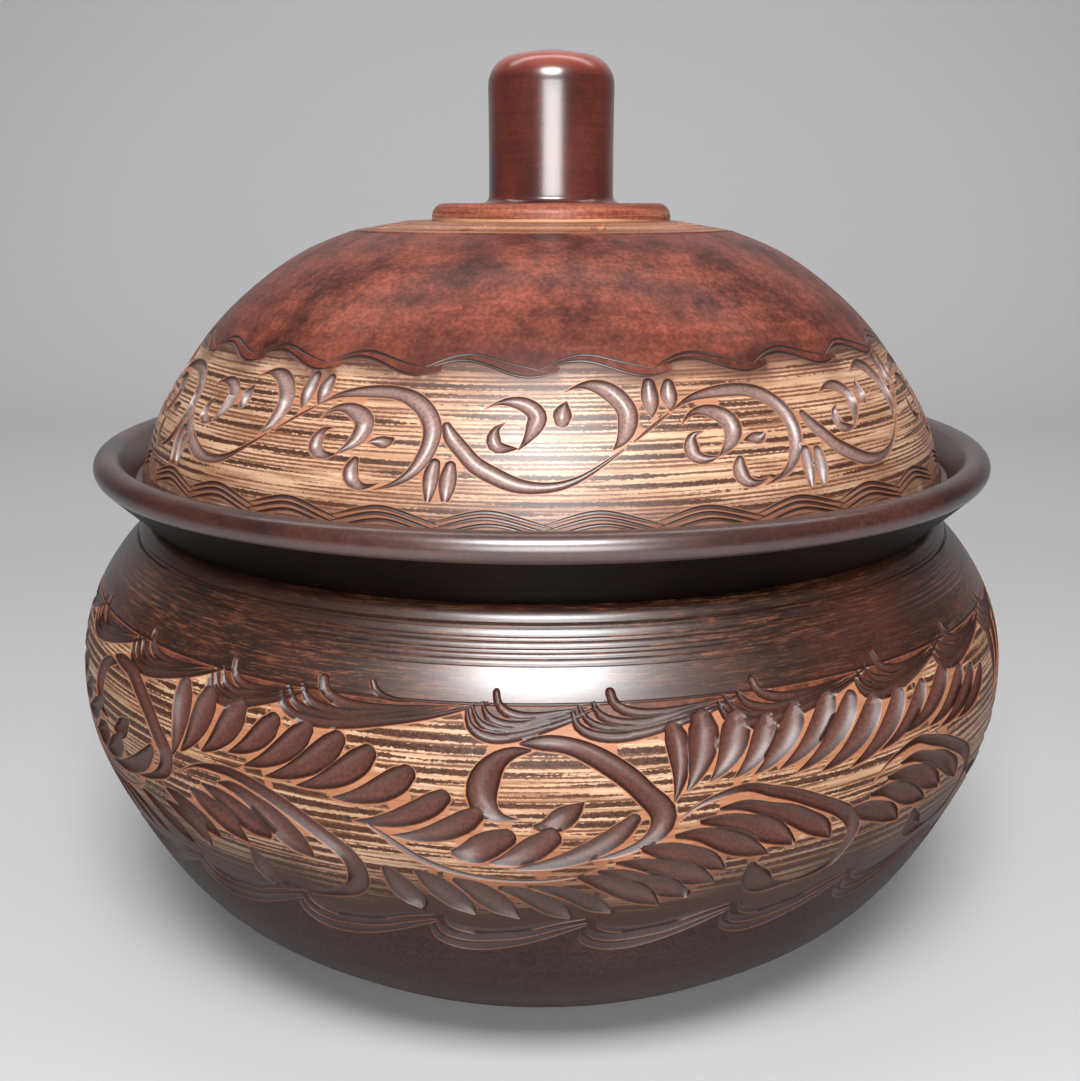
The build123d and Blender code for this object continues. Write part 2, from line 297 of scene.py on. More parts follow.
turning, given, result = new_tree("turn_on_the_wheel", [
    ("Outline", "NodeSocketGeometry"), ("Turns", "NodeSocketInt"),
    ("Off centre", "NodeSocketFloat"), ("Clay", "NodeSocketMaterial"),
])
count = add_node(turning, "GeometryNodeAttributeDomainSize", {"Geometry": given.outputs["Outline"]})
points = count.outputs["Point Count"]
rows = math_node(turning, "SUBTRACT", points, 1)
columns = math_node(turning, "ADD", given.outputs["Turns"], 1)
grid = add_node(turning, "GeometryNodeMeshGrid", {
    "Size X": given.outputs["Turns"], "Size Y": rows, "Vertices X": columns, "Vertices Y": points})
place = add_node(turning, "GeometryNodeInputPosition")
parts = add_node(turning, "ShaderNodeSeparateXYZ", {0: place.outputs[0]})
row = math_node(turning, "ADD", parts.outputs["Y"], math_node(turning, "DIVIDE", rows, 2))
row = math_node(turning, "ROUND", row)
outline_place = add_node(turning, "GeometryNodeSampleIndex", {
    "Geometry": given.outputs["Outline"], "Index": row}, data_type="FLOAT_VECTOR")
turning.links.new(place.outputs[0], outline_place.inputs["Value"])
share = math_node(turning, "DIVIDE", parts.outputs["X"], given.outputs["Turns"])
turned = add_node(turning, "ShaderNodeVectorRotate", {
    "Vector": outline_place.outputs[0], "Angle": math_node(turning, "MULTIPLY", share, 2 * pi)},
    rotation_type="Z_AXIS")
laid = add_node(turning, "GeometryNodeSetPosition", {
    "Geometry": grid.outputs["Mesh"], "Position": turned.outputs[0]})
merged = add_node(turning, "GeometryNodeMergeByDistance", {
    "Geometry": laid.outputs[0], "Distance": SEAM})
shift = add_node(turning, "ShaderNodeCombineXYZ", {"X": given.outputs["Off centre"]})
moved = add_node(turning, "GeometryNodeTransform", {
    "Geometry": merged.outputs[0], "Translation": shift.outputs[0]})
finish_tree(turning, moved.outputs[0], given.outputs["Clay"], result)
print("nodes in the turning tree:", len(turning.nodes))


# %% Running a tree on a mesh
def new_object(name, data):
    """An object, put in the scene at the origin."""
    made = bpy.data.objects.new(name, data)
    bpy.context.scene.collection.objects.link(made)
    return made


def read_all(items, name, columns=1, kind=float):
    """One property of all the items of a mesh, as an array."""
    values = np.zeros(len(items) * columns, kind)
    items.foreach_get(name, values)
    return values.reshape(-1, columns) if columns > 1 else values


def mesh_parts(mesh, unit=1.0):
    """Places, counted in a unit, and faces of a mesh."""
    return read_all(mesh.vertices, "co", 3) / unit, [tuple(p.vertices) for p in mesh.polygons]


def run_tree(tree, mesh, values):
    """The plain mesh that a tree makes of a mesh, with its named inputs set by identifier."""
    obj = new_object("work", mesh)
    modifier = obj.modifiers.new("work", "NODES")
    modifier.node_group = tree
    sockets = {item.name: item.identifier for item in tree.interface.items_tree}
    for label, value in values.items():
        modifier[sockets[label]] = value
    shown = obj.evaluated_get(bpy.context.evaluated_depsgraph_get())
    made = bpy.data.meshes.new_from_object(shown)
    obj.modifiers.clear()
    bpy.data.objects.remove(obj)
    return made


def turn(outline, clay, off_centre=0.0):
    """The skin that an outline sweeps round the axis, in metres."""
    mesh = bpy.data.meshes.new("outline")
    front = [(0, -r * MM, z * MM) for r, z in outline]
    mesh.from_pydata(front, [(i, i + 1) for i in range(len(front) - 1)], [])
    values = {"Turns": TURNS, "Off centre": off_centre * MM, "Clay": clay}
    return run_tree(turning, mesh, values)

# %% [markdown]
# ## Gouge strokes
# A loop tool leaves a stroke with a crisp outline and a round bottom. Painted bumps would not
# hold up at the pot's edge, where the cuts break the light, so the strokes are real geometry.
# Each is drawn flat, as if the wall were unrolled: degrees round the pot across, millimetres
# along the outline up, and the width of the cut at each point.

# %% A stroke as a flat strip
WIDE_TOOL = np.array([-1.0, -0.78, -0.4, 0.0, 0.4, 0.78, 1.0])
THIN_TOOL = np.array([-1.0, -0.6, 0.0, 0.6, 1.0])
LEAN = 0.45  # how far the deepest line leans uphill, as a share
HEAD = 0.9  # half width in mm from which an end gets a round head
HEAD_STEPS = np.array([0.55, 0.9, 1.0])
HEAD_REACH = 0.9  # how far a head stands out, as a share of its half width
THINNEST = 0.03  # half width in mm of a pointed end
STEEP, SHALLOW = 0.45, 0.27  # depth for each millimetre of width
SHALLOW_FROM = 0.55  # mm
ROUNDNESS = 2.6  # exponent of the section; 2 would be a parabola


def cut_depth(width):
    """How deep a cut of that width goes: a thin one steep, a wide one shallower."""
    return np.minimum(STEEP * width, SHALLOW_FROM + SHALLOW * width)


def stroke_rows(points, per_degree, step, wider, tool):
    """Rows of points across a stroke: across, up and minus depth, in flat millimetres."""
    line = smooth_line([(a * per_degree, s, w * wider) for a, s, w in points], step)
    ahead = np.gradient(line[:, :2], axis=0)
    ahead /= np.hypot(*ahead.T)[:, None]
    width = line[:, 2] / 2
    caps = {}
    for end, sign in ((0, -1), (-1, 1)):
        if width[end] > HEAD:
            caps[end] = [(line[end, :2] + sign * ahead[end] * width[end] * t * HEAD_REACH,
                          ahead[end], max(width[end] * (1 - t * t) ** 0.5, THINNEST))
                         for t in HEAD_STEPS]
    body = list(zip(line[:, :2], ahead, np.maximum(width, THINNEST)))
    body = caps.get(0, [])[::-1] + body + caps.get(-1, [])
    rows = []
    for middle, forward, half in body:
        side = np.array([-forward[1], forward[0]])
        shift = LEAN * side[1] * (1 - tool**2)
        across = middle + np.outer((tool + shift) * half, side)
        depth = cut_depth(2 * half) * (1 - np.abs(tool) ** ROUNDNESS)
        rows.append(np.column_stack([across, -depth]))
    return np.array(rows)


LEAF_WIDTHS = (
    (0.06, 0.74), (0.14, 0.94), (0.26, 1.0), (0.42, 0.93), (0.62, 0.68), (0.82, 0.38), (1.0, 0.06),
)
LEAF_BOW = 0.09  # of its length, sideways
DEGREES_PER_MM, MM_PER_DEGREE = 0.42, 2.4


def leaf(head, tail, width):
    """Points of a leaf cut, round at its head, bowed, and pointed at its tail."""
    (a0, s0), (a1, s1) = head, tail
    rise = LEAF_BOW * (a1 - a0), LEAF_BOW * (s1 - s0)
    return [(between(a0, a1, t) - 4 * t * (1 - t) * rise[1] * DEGREES_PER_MM,
             between(s0, s1, t) + 4 * t * (1 - t) * rise[0] * MM_PER_DEGREE, width * w)
            for t, w in LEAF_WIDTHS]


# %% A stencil of strokes
def stencil(strokes, per_degree, step, wider, tool):
    """A flat mesh of all the strokes of one group."""
    places, quads = [], []
    for points in strokes:
        rows = stroke_rows(points, per_degree, step, wider, tool)
        start = len(places)
        wide = len(tool)
        places.extend(rows.reshape(-1, 3))
        for i in range(len(rows) - 1):
            for j in range(wide - 1):
                a = start + i * wide + j
                quads.append((a + 1, a, a + wide, a + wide + 1))
    mesh = bpy.data.meshes.new("stencil")
    mesh.from_pydata([tuple(p) for p in places], [], quads)
    return mesh

# %% [markdown]
# ### Repeating the stencils
# Every group of strokes comes back several times round the pot, which is what Instance on
# Points is for. Each point is the start of one copy, and its own stretch widens or narrows
# that copy, because the potter spaced the border cuts by eye.

# %% The repeating tree
repeating, given, result = new_tree("repeat_round_the_pot", [
    ("Starts", "NodeSocketGeometry"), ("Stencil", "NodeSocketObject"),
    ("Clay", "NodeSocketMaterial"),
])
source = add_node(repeating, "GeometryNodeObjectInfo", {"Object": given.outputs["Stencil"]})
stretch = add_node(repeating, "GeometryNodeInputNamedAttribute", {"Name": "stretch"},
                   data_type="FLOAT")
scale = add_node(repeating, "ShaderNodeCombineXYZ", {"X": stretch.outputs[0], "Y": 1.0, "Z": 1.0})
copies = add_node(repeating, "GeometryNodeInstanceOnPoints", {
    "Points": given.outputs["Starts"], "Instance": source.outputs["Geometry"],
    "Scale": scale.outputs[0]})
finish_tree(repeating, copies.outputs[0], given.outputs["Clay"], result)


def repeated(strokes, starts, per_degree, step, wider, tool, stretches=None):
    """Places and faces of a group of strokes, copied to each start, as flat millimetres."""
    holder = new_object("stencil", stencil(strokes, per_degree, step, wider, tool))
    dots = bpy.data.meshes.new("starts")
    dots.from_pydata([(a * per_degree, 0, 0) for a in starts], [], [])
    if stretches is None:
        stretches = [1] * len(starts)
    dots.attributes.new("stretch", "FLOAT", "POINT").data.foreach_set("value", list(stretches))
    made = run_tree(repeating, dots, {"Stencil": holder})
    bpy.data.objects.remove(holder)
    print("strokes:", len(strokes), "copies:", len(starts))
    return mesh_parts(made)

# %% [markdown]
# ### Cutting the strokes into a wall
# A Boolean with hundreds of overlapping cutters is slow and leaves ragged shading. Cutting is
# easier while the wall is flat: a constrained triangulation keeps every stroke's outline as an
# edge, each point is pushed in by the deepest stroke over it, and only then is the sheet rolled
# up. Points on the stroke's outline stay on the wall, so the edges of the cuts stay crisp.
# Loose dots fill the wall between the cuts. They stand closer together near a cut, where each
# has to carry how near that cut is, because the scratches stop short of it.

# %% The carved band
CLEAR = 0.8  # mm that a loose dot keeps from a cut
NEARBY = 0.7  # share of the dots' spacing within which they stand twice as close
SCRAPED = 2.4  # mm from a cut at which its mark on the wall has faded out
ROW_SHARE = 0.87  # between rows, so that staggered dots make even triangles
BELOW = -50.0  # from where a ray looks up at the flat strokes
OVERLAP = 60.0  # mm past the seam that strokes are copied across it
SAME_POINT = 1e-4  # mm within which the triangulation takes two points as one


def crossing_copies(places, faces, half):
    """The strokes, and again a full turn away the ones that cross the seam at the back."""
    group = np.arange(len(places))
    for face in faces:
        group[list(face)] = group[list(face)].min()
    all_places, all_faces = [places], list(faces)
    for shift in (-2 * half, 2 * half):
        near = np.abs(places[:, 0] + shift) < half + OVERLAP
        chosen = [f for f in faces if near[list(f)].any()]
        used = sorted({i for f in chosen for i in f})
        number = {old: new + sum(len(p) for p in all_places) for new, old in enumerate(used)}
        all_faces += [tuple(number[i] for i in f) for f in chosen]
        all_places.append(places[used] + (shift, 0, 0))
    return np.concatenate(all_places), all_faces


def outer_edges(faces):
    """The long edges of the strips, and the cross edges that only one face has."""
    kept = {}
    for a, b, c, d in faces:
        for pair in ((a, d), (b, c)):
            kept[tuple(sorted(pair))] = True
    for a, b, c, d in faces:
        for pair in ((a, b), (c, d)):
            key = tuple(sorted(pair))
            kept[key] = kept.get(key) is None
    return [pair for pair, keep in kept.items() if keep]


def loose_dots(flat, low, high, half, fill):
    """Dots about fill apart between the cuts, and twice as close near them."""
    dots, step = [], fill / 2
    for row, s in enumerate(np.arange(low + fill, high - fill / 2, step * ROW_SHARE)):
        first = -half + step * (1 + 0.5 * (row % 2))
        for column, x in enumerate(np.arange(first, half - step, step)):
            near = flat.find_nearest(Vector((x, s, 0)), fill * NEARBY)[3]
            if (row % 2 or column % 2) if near is None else near < CLEAR:
                continue
            dots.append((x, s))
    return dots


def carved_band(wall, low, high, per_degree, strokes, fill):
    """The band of a wall between two heights along it, with the strokes cut in.

    Gives places in millimetres with the depth of the cut there and how near a cut is, and
    triangles with their place on the wall and whether they are part of a cut.
    """
    half = FULL_TURN / 2 * per_degree
    places, faces = [], []
    for some_places, some_faces in strokes:
        faces += [tuple(i + sum(len(p) for p in places) for i in f) for f in some_faces]
        places.append(some_places)
    places, faces = crossing_copies(np.concatenate(places), faces, half)
    deepest = BVHTree.FromPolygons([tuple(p) for p in places], faces)
    flat = BVHTree.FromPolygons([(x, s, 0) for x, s, _ in places], faces)

    ring = np.linspace(-half, half, TURNS + 1)
    sides = np.arange(low + fill, high - fill / 2, fill)
    frame_points = [(x, low) for x in ring] + [(half, s) for s in sides]
    frame_points += [(x, high) for x in ring[::-1]] + [(-half, s) for s in sides[::-1]]
    dots = loose_dots(flat, low, high, half, fill)
    given_points = [Vector(p) for p in frame_points + dots] + [Vector(p[:2]) for p in places]
    count, first = len(frame_points), len(frame_points) + len(dots)
    edges = [(i, (i + 1) % count) for i in range(count)]
    edges += [(a + first, b + first) for a, b in outer_edges(faces)]
    points, _, triangles, point_ids, _, _ = delaunay_2d_cdt(
        given_points, edges, [], 0, SAME_POINT, True)

    up = Vector((0, 0, 1))
    depth = np.zeros(len(points))
    for i, (point, ids) in enumerate(zip(points, point_ids)):
        hit = deepest.ray_cast(Vector((point[0], point[1], BELOW)), up)[0]
        own = [-places[k - first][2] for k in ids if k >= first]
        depth[i] = max([0.0 if hit is None else -hit[2]] + own)
    flat_place = np.array([tuple(p) for p in points])
    corners = np.array(triangles)
    middle = flat_place[corners].mean(axis=1)
    keep = (np.abs(middle[:, 0]) < half) & (middle[:, 1] > low) & (middle[:, 1] < high)
    corners, middle = corners[keep], middle[keep]
    cut = np.array([flat.ray_cast(Vector((x, s, BELOW)), up)[0] is not None for x, s in middle])
    scraped = np.zeros(len(points))
    for i, (x, s) in enumerate(flat_place):
        found = flat.find_nearest(Vector((x, s, 0)), SCRAPED)[0]
        if found is not None:
            scraped[i] = 1 - hypot(found[0] - x, found[1] - s) / SCRAPED
    r_z = wall.at(flat_place[:, 1], depth)
    angle = np.radians(flat_place[:, 0] / per_degree)
    solid = np.column_stack([r_z[:, 0] * np.sin(angle), -r_z[:, 0] * np.cos(angle), r_z[:, 1]])
    print("carved band:", len(solid), "points,", len(corners), "triangles")
    return {"places": solid, "faces": corners, "cut": cut, "depth": depth, "scraped": scraped,
            "angle": middle[:, 0] / per_degree, "along": middle[:, 1],
            "point_angle": flat_place[:, 0] / per_degree, "point_along": flat_place[:, 1]}

# %% [markdown]
# ### The vine on the pot
# The wide band round the belly holds seven fans of leaves on a running vine, of two kinds
# that take turns. Above it runs a border of little hooks under one thin turned line, and
# below it a border of scallops. Each row of numbers is one stroke, drawn over the
# unrolled wall: degrees from the fan's start, millimetres up the wall, and width.

# %% Leaves and loops of the pot
pot_per_degree = belly_radius * pi / 180

fan_a = [leaf(*row) for row in (
    ((0.6, 131.2), (-0.3, 111.5), 6.4), ((4.7, 130.9), (1.2, 113.8), 6.8),
    ((9, 129.8), (4.4, 115.8), 6.8), ((13.5, 128.5), (8.1, 117.8), 5.6),
    ((17.3, 128.3), (10.1, 115.6), 5.8), ((20.8, 127.1), (12.7, 114.3), 6.0),
    ((24, 124.8), (16.3, 113.8), 6.0), ((27.9, 121.1), (20.1, 112.5), 5.9),
    ((31.4, 116.5), (22.2, 107.6), 5.2), ((34.4, 112.7), (25.9, 105.2), 5.2),
)]
fan_a += [
    [(36.7, 106.5, 4.7), (35, 104.5, 6.5), (33.2, 102.4, 5.3), (31.6, 102.3, 1.2)],
    [(40.8, 106.5, 4.7), (39.2, 103.9, 5.9), (37.1, 101.2, 3.8), (35.1, 99.8, 0.6)],
    [(43.8, 115.2, 0.3), (42.8, 113, 3.8), (41.5, 110.9, 5), (40.2, 109.5, 2.9),
     (39.2, 109.5, 0.9)],
    [(48.4, 110.5, 2.9), (47.1, 107.4, 4.4), (44.9, 103.9, 4.6), (42, 100.9, 3.5),
     (39.2, 99.2, 1.8), (37, 98.5, 0.2)],
    [(39, 126.8, 0.6), (37.7, 126.5, 2.1), (36, 124.5, 4.1), (34.9, 120.9, 6.2),
     (34.5, 117.1, 6.4), (34.8, 114.2, 5.6), (36, 111.8, 2.6), (37.9, 111.2, 0.3)],
    [(37.9, 128.2, 0.5), (39.7, 128.4, 2.9), (42, 128, 3.5), (44.2, 126.1, 4.2),
     (46.4, 122.9, 4.7), (48.4, 119, 4.8), (49.9, 115.1, 5), (51.1, 111.2, 5.6),
     (50.8, 107.6, 4.7), (49.3, 104.5, 2.5), (47.1, 102.2, 1.5), (44.6, 100.7, 0.2)],
    [(23.3, 107.9, 0.3), (25.6, 104.5, 1.2), (28.7, 99.8, 1.5), (30.6, 98, 1.3), (33.7, 96.1, 1.1),
     (37.1, 95.2, 0.8), (41, 95.5, 0.7), (43.6, 96.8, 0.5), (45.9, 99.4, 0.15)],
    [(0.6, 107.9, 0.2), (3.2, 111.4, 0.7), (5.8, 112.7, 1.8), (8.7, 112.8, 2.5),
     (11.6, 111.2, 2.9), (14.7, 108.3, 3.4), (17.6, 104.5, 3.6), (20.2, 100.5, 3.8),
     (21.8, 96.5, 4.6), (22.1, 92.5, 5), (21.7, 88.9, 4.7), (20.4, 86.2, 3.5), (18.3, 84.2, 2.1),
     (16, 82.9, 1.2), (14.1, 83, 0.3)],
    [(9.9, 92.4, 2.4), (10.3, 89.8, 5), (10.8, 86.5, 6.8), (12, 84.2, 5.3), (13.7, 83.5, 2.4),
     (15.7, 83.5, 0.2)],
    [(6.6, 109.2, 0.5), (8.2, 109.5, 2.4), (10.6, 107.7, 3.8), (12.9, 104.5, 5.9),
     (15, 100.6, 6.5), (16.7, 97.4, 4.1), (17.7, 95.2, 0.2)],
    [(4.1, 107.4, 0.6), (6.2, 106.2, 3.5), (8.7, 103.6, 5.6), (10.8, 100.9, 5.9),
     (12.4, 99.2, 2.9)],
    [(2.1, 104.8, 0.9), (3.8, 103.3, 4.4), (5.9, 100.9, 5.9), (8, 98, 5.3), (9.8, 94.6, 0.3)],
]
low_leaf = [
    (-8.1, 96.2, 1.2), (-5.8, 94.2, 4.1), (-3.5, 91.2, 5.3), (-1.4, 88.3, 4.7), (0, 85.2, 0.3),
]
small_leaves = [
    [(-2.2, 101.5, 0.9), (-0.1, 100.1, 4.1), (2.3, 97.7, 5), (4.1, 95.6, 4.7), (5.5, 93.3, 1.5)],
    [(-2.9, 97.4, 0.9), (-0.9, 96.2, 3.5), (1.2, 94.2, 4.7), (2.8, 91.2, 4.7), (3.2, 88.3, 1.2)],
    low_leaf,
]
under_leaves = [
    [(25.2, 95.6, 2.6), (26, 92.4, 5.3), (27, 88.9, 5.9), (28.1, 85.6, 3.8), (28.3, 84, 1.2)],
    [(28.3, 95.9, 1.8), (29.7, 93, 5.3), (31.2, 89.5, 5.9), (32.7, 85.9, 4.1), (33.5, 83.3, 0.3)],
    [(31.9, 94.5, 1.8), (33.6, 92.1, 5), (35.3, 88.6, 6.2), (36.7, 85.4, 4.4), (37.8, 82.4, 0.3)],
    [(36.2, 92.7, 1.8), (38.1, 91.2, 3.8), (39.9, 88.3, 5), (41.6, 85.4, 4.7), (42.8, 82.5, 0.9)],
    [(39.3, 93.3, 1.5), (41.2, 92.1, 2.9), (43.3, 89.8, 4.1), (45.2, 86.8, 4.4), (46.8, 84.2, 0.9)],
]
fan_a += small_leaves + under_leaves

fan_b = [leaf(*row) for row in (
    ((0.7, 131.5), (0.7, 113.8), 5.2), ((3.8, 132.9), (1.9, 116.1), 6.9),
    ((7.4, 131.8), (4.2, 117.8), 6.8), ((10.8, 130.6), (6.6, 117.8), 5.9),
    ((14.1, 132.1), (8.6, 117.8), 5.6), ((18.3, 133.2), (11.3, 118), 5.5),
    ((21.1, 132), (13.2, 116.5), 5.3), ((24.3, 129.9), (16.1, 115.4), 5.8),
    ((28.1, 129.5), (19.7, 114.4), 5.3), ((32, 129.2), (23.7, 116.2), 4.5),
    ((36.7, 130.5), (27.9, 118.3), 5.5), ((40.3, 127.6), (31.9, 117.3), 5),
    ((43.3, 125.8), (34.1, 115.6), 5.2), ((46.3, 123.3), (38.1, 115.1), 5.2),
)]
loop_b = [
    [(1.1, 109.2, 0.3), (2.8, 112.1, 0.7), (5.1, 114.2, 1.3), (8.5, 114.9, 2.1),
     (10.1, 113.6, 2.6), (13, 111.2, 3.1), (15.6, 108.3, 3.4), (18.2, 105.1, 3.6),
     (20.2, 101.5, 4.1), (21.1, 97.4, 3.8), (20.6, 93, 2.9), (19.5, 88.6, 2.6), (17.6, 86.4, 1.8),
     (15.3, 85.6, 1.1), (13.5, 86.2, 0.3)],
    [(9.1, 94.2, 2.4), (9.5, 91.2, 5.6), (10.4, 88, 6.8), (11.9, 85.9, 3.8), (14.3, 85.5, 0.9)],
    [(5.2, 110.8, 0.9), (7.7, 110.9, 2.6), (10.1, 108.9, 3.5), (12.7, 106.5, 4.7),
     (15.1, 103, 5.3), (16.9, 100.1, 4.4), (18.1, 96.6, 0.3)],
    [(3.3, 108.3, 1.2), (5.6, 107.7, 3.5), (8.5, 105.4, 5.3), (11.1, 102.4, 5.9),
     (13.3, 98.6, 1.8)],
    [(0.9, 105.4, 1.2), (3.3, 105.1, 3.5), (5.9, 102.4, 5.3), (8.5, 99.5, 4.7), (10.8, 96.6, 0.3)],
    [(-1.9, 102.7, 1.8), (-0.1, 101.8, 4.4), (2.5, 99.8, 5.3), (4.6, 97.4, 4.7), (6.3, 94.1, 0.3)],
]
tail_b = [
    [(-4.6, 99.6, 0.9), (-1.9, 98.6, 3.5), (0.9, 95.9, 5), (3.5, 93.3, 5), (5.4, 90.8, 0.5)],
    [(-6.2, 97.4, 1.2), (-3.7, 95.9, 3.5), (-1.4, 93, 4.7), (0.7, 90.6, 5.3), (2.5, 88.3, 2.9)],
    low_leaf,
]
second_start = 22
second_loop = [[(a + second_start, s, w) for a, s, w in points] for points in loop_b]
fan_b += loop_b + tail_b + second_loop
print("strokes in the two fans:", len(fan_a), len(fan_b))

# %% Borders of the pot
def spread_out(strokes, span, base=0.0):
    """Strokes given by share of a span and height above a base, in degrees and millimetres."""
    return [[(share * span, base + up, w) for share, up, w in points] for points in strokes]


def all_round(first, count):
    """Starts in degrees of a count of copies, evenly round the wall from the first one."""
    return [first + FULL_TURN / count * i for i in range(count)]


hook_top, hook_span = 136.7, 14.4
hook = [
    [(0, 2.6, 1.9), (0.02, 0.2, 2.0), (0.11, -1.9, 2.1), (0.26, -2.6, 1.8), (0.54, -1.7, 0.9),
     (0.8, -0.7, 0.3)],
    [(-0.12, 0.7, 0.8), (-0.09, -1.9, 1.6), (0.04, -4.2, 1.9), (0.21, -4.5, 1.7),
     (0.44, -3.0, 1.2), (0.72, -0.9, 0.4)],
    [(-0.21, -0.2, 0.8), (-0.16, -3.4, 1.4), (0, -5.6, 1.5), (0.18, -5.8, 1.4), (0.42, -4.2, 1.2),
     (0.75, -1.4, 0.4)],
    [(-0.25, -1.3, 1.0), (-0.23, -4.3, 1.6), (-0.12, -6.8, 1.9), (0.09, -7.4, 1.9),
     (0.33, -6.0, 1.6), (0.75, -2.2, 0.9), (0.96, 0.6, 0.3)],
]
hook_strokes = spread_out(hook, hook_span, hook_top)
hook_starts = [-63, -47.5, -33.2, -22.1, -4.4, 6.5, 21.1, 36.7, 50.3, 65]
hook_starts += [79.5 + 14.5 * i for i in range(15)]  # unseen, so evenly
hook_stretches = np.diff(hook_starts + [hook_starts[0] + FULL_TURN]) / hook_span

scallop_copies = 24
scallop = [
    [(0.03, 82.4, 0.5), (0.05, 79.5, 1.4), (0.17, 77.4, 2), (0.35, 77.1, 2), (0.52, 78.3, 1.8),
     (0.72, 80.6, 1.2), (0.95, 82.1, 0.3)],
    [(-0.03, 79.8, 0.5), (-0.01, 76.5, 1.4), (0.10, 74.5, 2), (0.29, 74.5, 2), (0.52, 75.9, 1.8),
     (0.75, 78.6, 1.2), (0.96, 80.6, 0.3)],
    [(-0.08, 78.3, 0.5), (-0.06, 74.2, 1.4), (0.06, 71.2, 2), (0.26, 70.9, 2.2), (0.50, 73, 1.8),
     (0.96, 79.8, 0.3)],
]
scallop_strokes = spread_out(scallop, FULL_TURN / scallop_copies)
scallop_starts = all_round(-40, scallop_copies)

line_waver, line_waves, line_width = 0.15, 5, 0.9
pot_line = [
    [(a, hook_top + line_waver * sin(radians(line_waves * a)), line_width)
     for a in range(-181, 182, 2)],
    [(-16.9, 140.4, 1.8), (-16.4, 138.2, 2.0), (-15, 136.7, 1.6), (-12.4, 136.3, 0.5)],
]
# Each group is cut a little wider than drawn: the number before the tool says how much.
fan_a_starts, fan_b_starts = (-92.5, -40, 63, 165.7), (11.4, 114.3, -143)
pot_step = 1.8  # mm between the points along a stroke
pot_strokes = [
    repeated(fan_a, fan_a_starts, pot_per_degree, pot_step, 1.12, WIDE_TOOL),
    repeated(fan_b, fan_b_starts, pot_per_degree, pot_step, 1.12, WIDE_TOOL),
    repeated(hook_strokes, hook_starts, pot_per_degree, pot_step, 1.3, THIN_TOOL, hook_stretches),
    repeated(scallop_strokes, scallop_starts, pot_per_degree, pot_step, 1.4, THIN_TOOL),
    repeated(pot_line, [0], pot_per_degree, pot_step, 1.0, THIN_TOOL),
]

# %% [markdown]
# ### The vine on the lid
# The lid's band is narrower: eight units of commas, crescents and drops on a thin stem,
# between two borders of combed waves. Nine single drops lie on the cone under the knob.

# %% Strokes of the lid
lid_band_radius, crest_band_radius = 107.0, 48.0  # where a degree has its true width
lid_per_degree, crest_per_degree = lid_band_radius * pi / 180, crest_band_radius * pi / 180
vine = [
    [(0.3, 30.5, 2.0), (1.1, 27.7, 3.3), (2.5, 24.7, 3.5), (4.2, 21.3, 3.7), (6.5, 18.7, 3.7),
     (8.9, 16.7, 3.3), (11.4, 16, 2.5), (14.1, 16.5, 1.9), (16.4, 18.2, 1.3), (18.7, 20.9, 0.9),
     (21.7, 24.9, 0.4)],
    [(4.9, 35, 0.15), (6.3, 36.4, 0.8), (8.2, 36.9, 2.4), (10.3, 35.7, 3.7), (11.4, 33.3, 4.1),
     (11.1, 30.7, 3.7), (10.4, 28, 2.1), (9.2, 24.8, 0.2)],
    [(7.5, 31.5, 0.15), (6.5, 30, 1.5), (6.2, 27.9, 2.9), (6.6, 25.7, 2.9), (7.8, 25.2, 1.9),
     (9.2, 25.2, 0.2)],
    [(15.1, 37.1, 0.2), (14.8, 35.7, 2.3), (14.5, 33.7, 4.1), (14.4, 32, 3.2)],
    [(14.9, 39.5, 0.15), (16.6, 40.9, 1), (18.5, 41.1, 2.8), (20.4, 39.7, 4.3), (21.9, 37, 4.7),
     (22.6, 34, 4.6), (22.4, 30.7, 4.1), (21.6, 27.3, 2.5), (20.3, 24.7, 0.2)],
    [(26.1, 41.3, 3), (25.9, 38.3, 4.1), (25.8, 35.3, 3.3), (25.7, 32.5, 0.3)],
    [(28.8, 41, 2.8), (28.5, 38.3, 4.1), (28.4, 36, 3), (28.2, 33.9, 0.3)],
    [(22.9, 26.5, 0.3), (25.6, 30.3, 0.7), (28, 33.4, 0.4)],
    [(28.3, 33.8, 0.15), (30.7, 36.5, 1.2), (33.8, 38, 2.5), (36.8, 38.5, 3.1), (39.9, 38.2, 3.3),
     (42.3, 36.5, 3.9), (44.1, 33.5, 4.1), (45.1, 29.7, 4.1), (45.1, 25.7, 3.7), (44.4, 21.7, 3.2),
     (43.1, 18.2, 2.1), (41.2, 15.7, 1.1), (38.9, 14.2, 0.2)],
    [(36, 20.7, 2), (35.7, 18.3, 3.5), (36.2, 15.8, 3.1), (37.4, 14.8, 1.7), (39.5, 15.8, 0.2)],
    [(37.1, 25.3, 0.15), (38.2, 25.7, 2), (39.5, 25.7, 2.8), (40.5, 26.8, 0.5)],
    [(29.3, 30.3, 0.15), (30.7, 32.8, 1.1), (32.6, 33.7, 2.4), (34.5, 32.7, 3.9), (36, 30.3, 4.5),
     (35.9, 27.3, 4.1), (35, 24.7, 2.5), (33.2, 21.9, 0.2)],
    [(31.9, 28.3, 0.2), (30.5, 27.5, 1.5), (30, 25.2, 3.2), (30.1, 22.8, 3.3), (31.2, 21.5, 2.3),
     (33.2, 21.9, 0.2)],
    [(46, 21.2, 2.5), (45.8, 18.7, 3.3), (45.7, 15.7, 2.9), (45.6, 12.3, 1.2)],
    [(47.9, 20.8, 2.4), (47.8, 18, 3.5), (47.7, 15.3, 3.2), (47.6, 12.5, 1.5)],
]
vine_starts = [-58.5, -12.0, 35.4, 81, 125, 169, -146.5, -102.5]

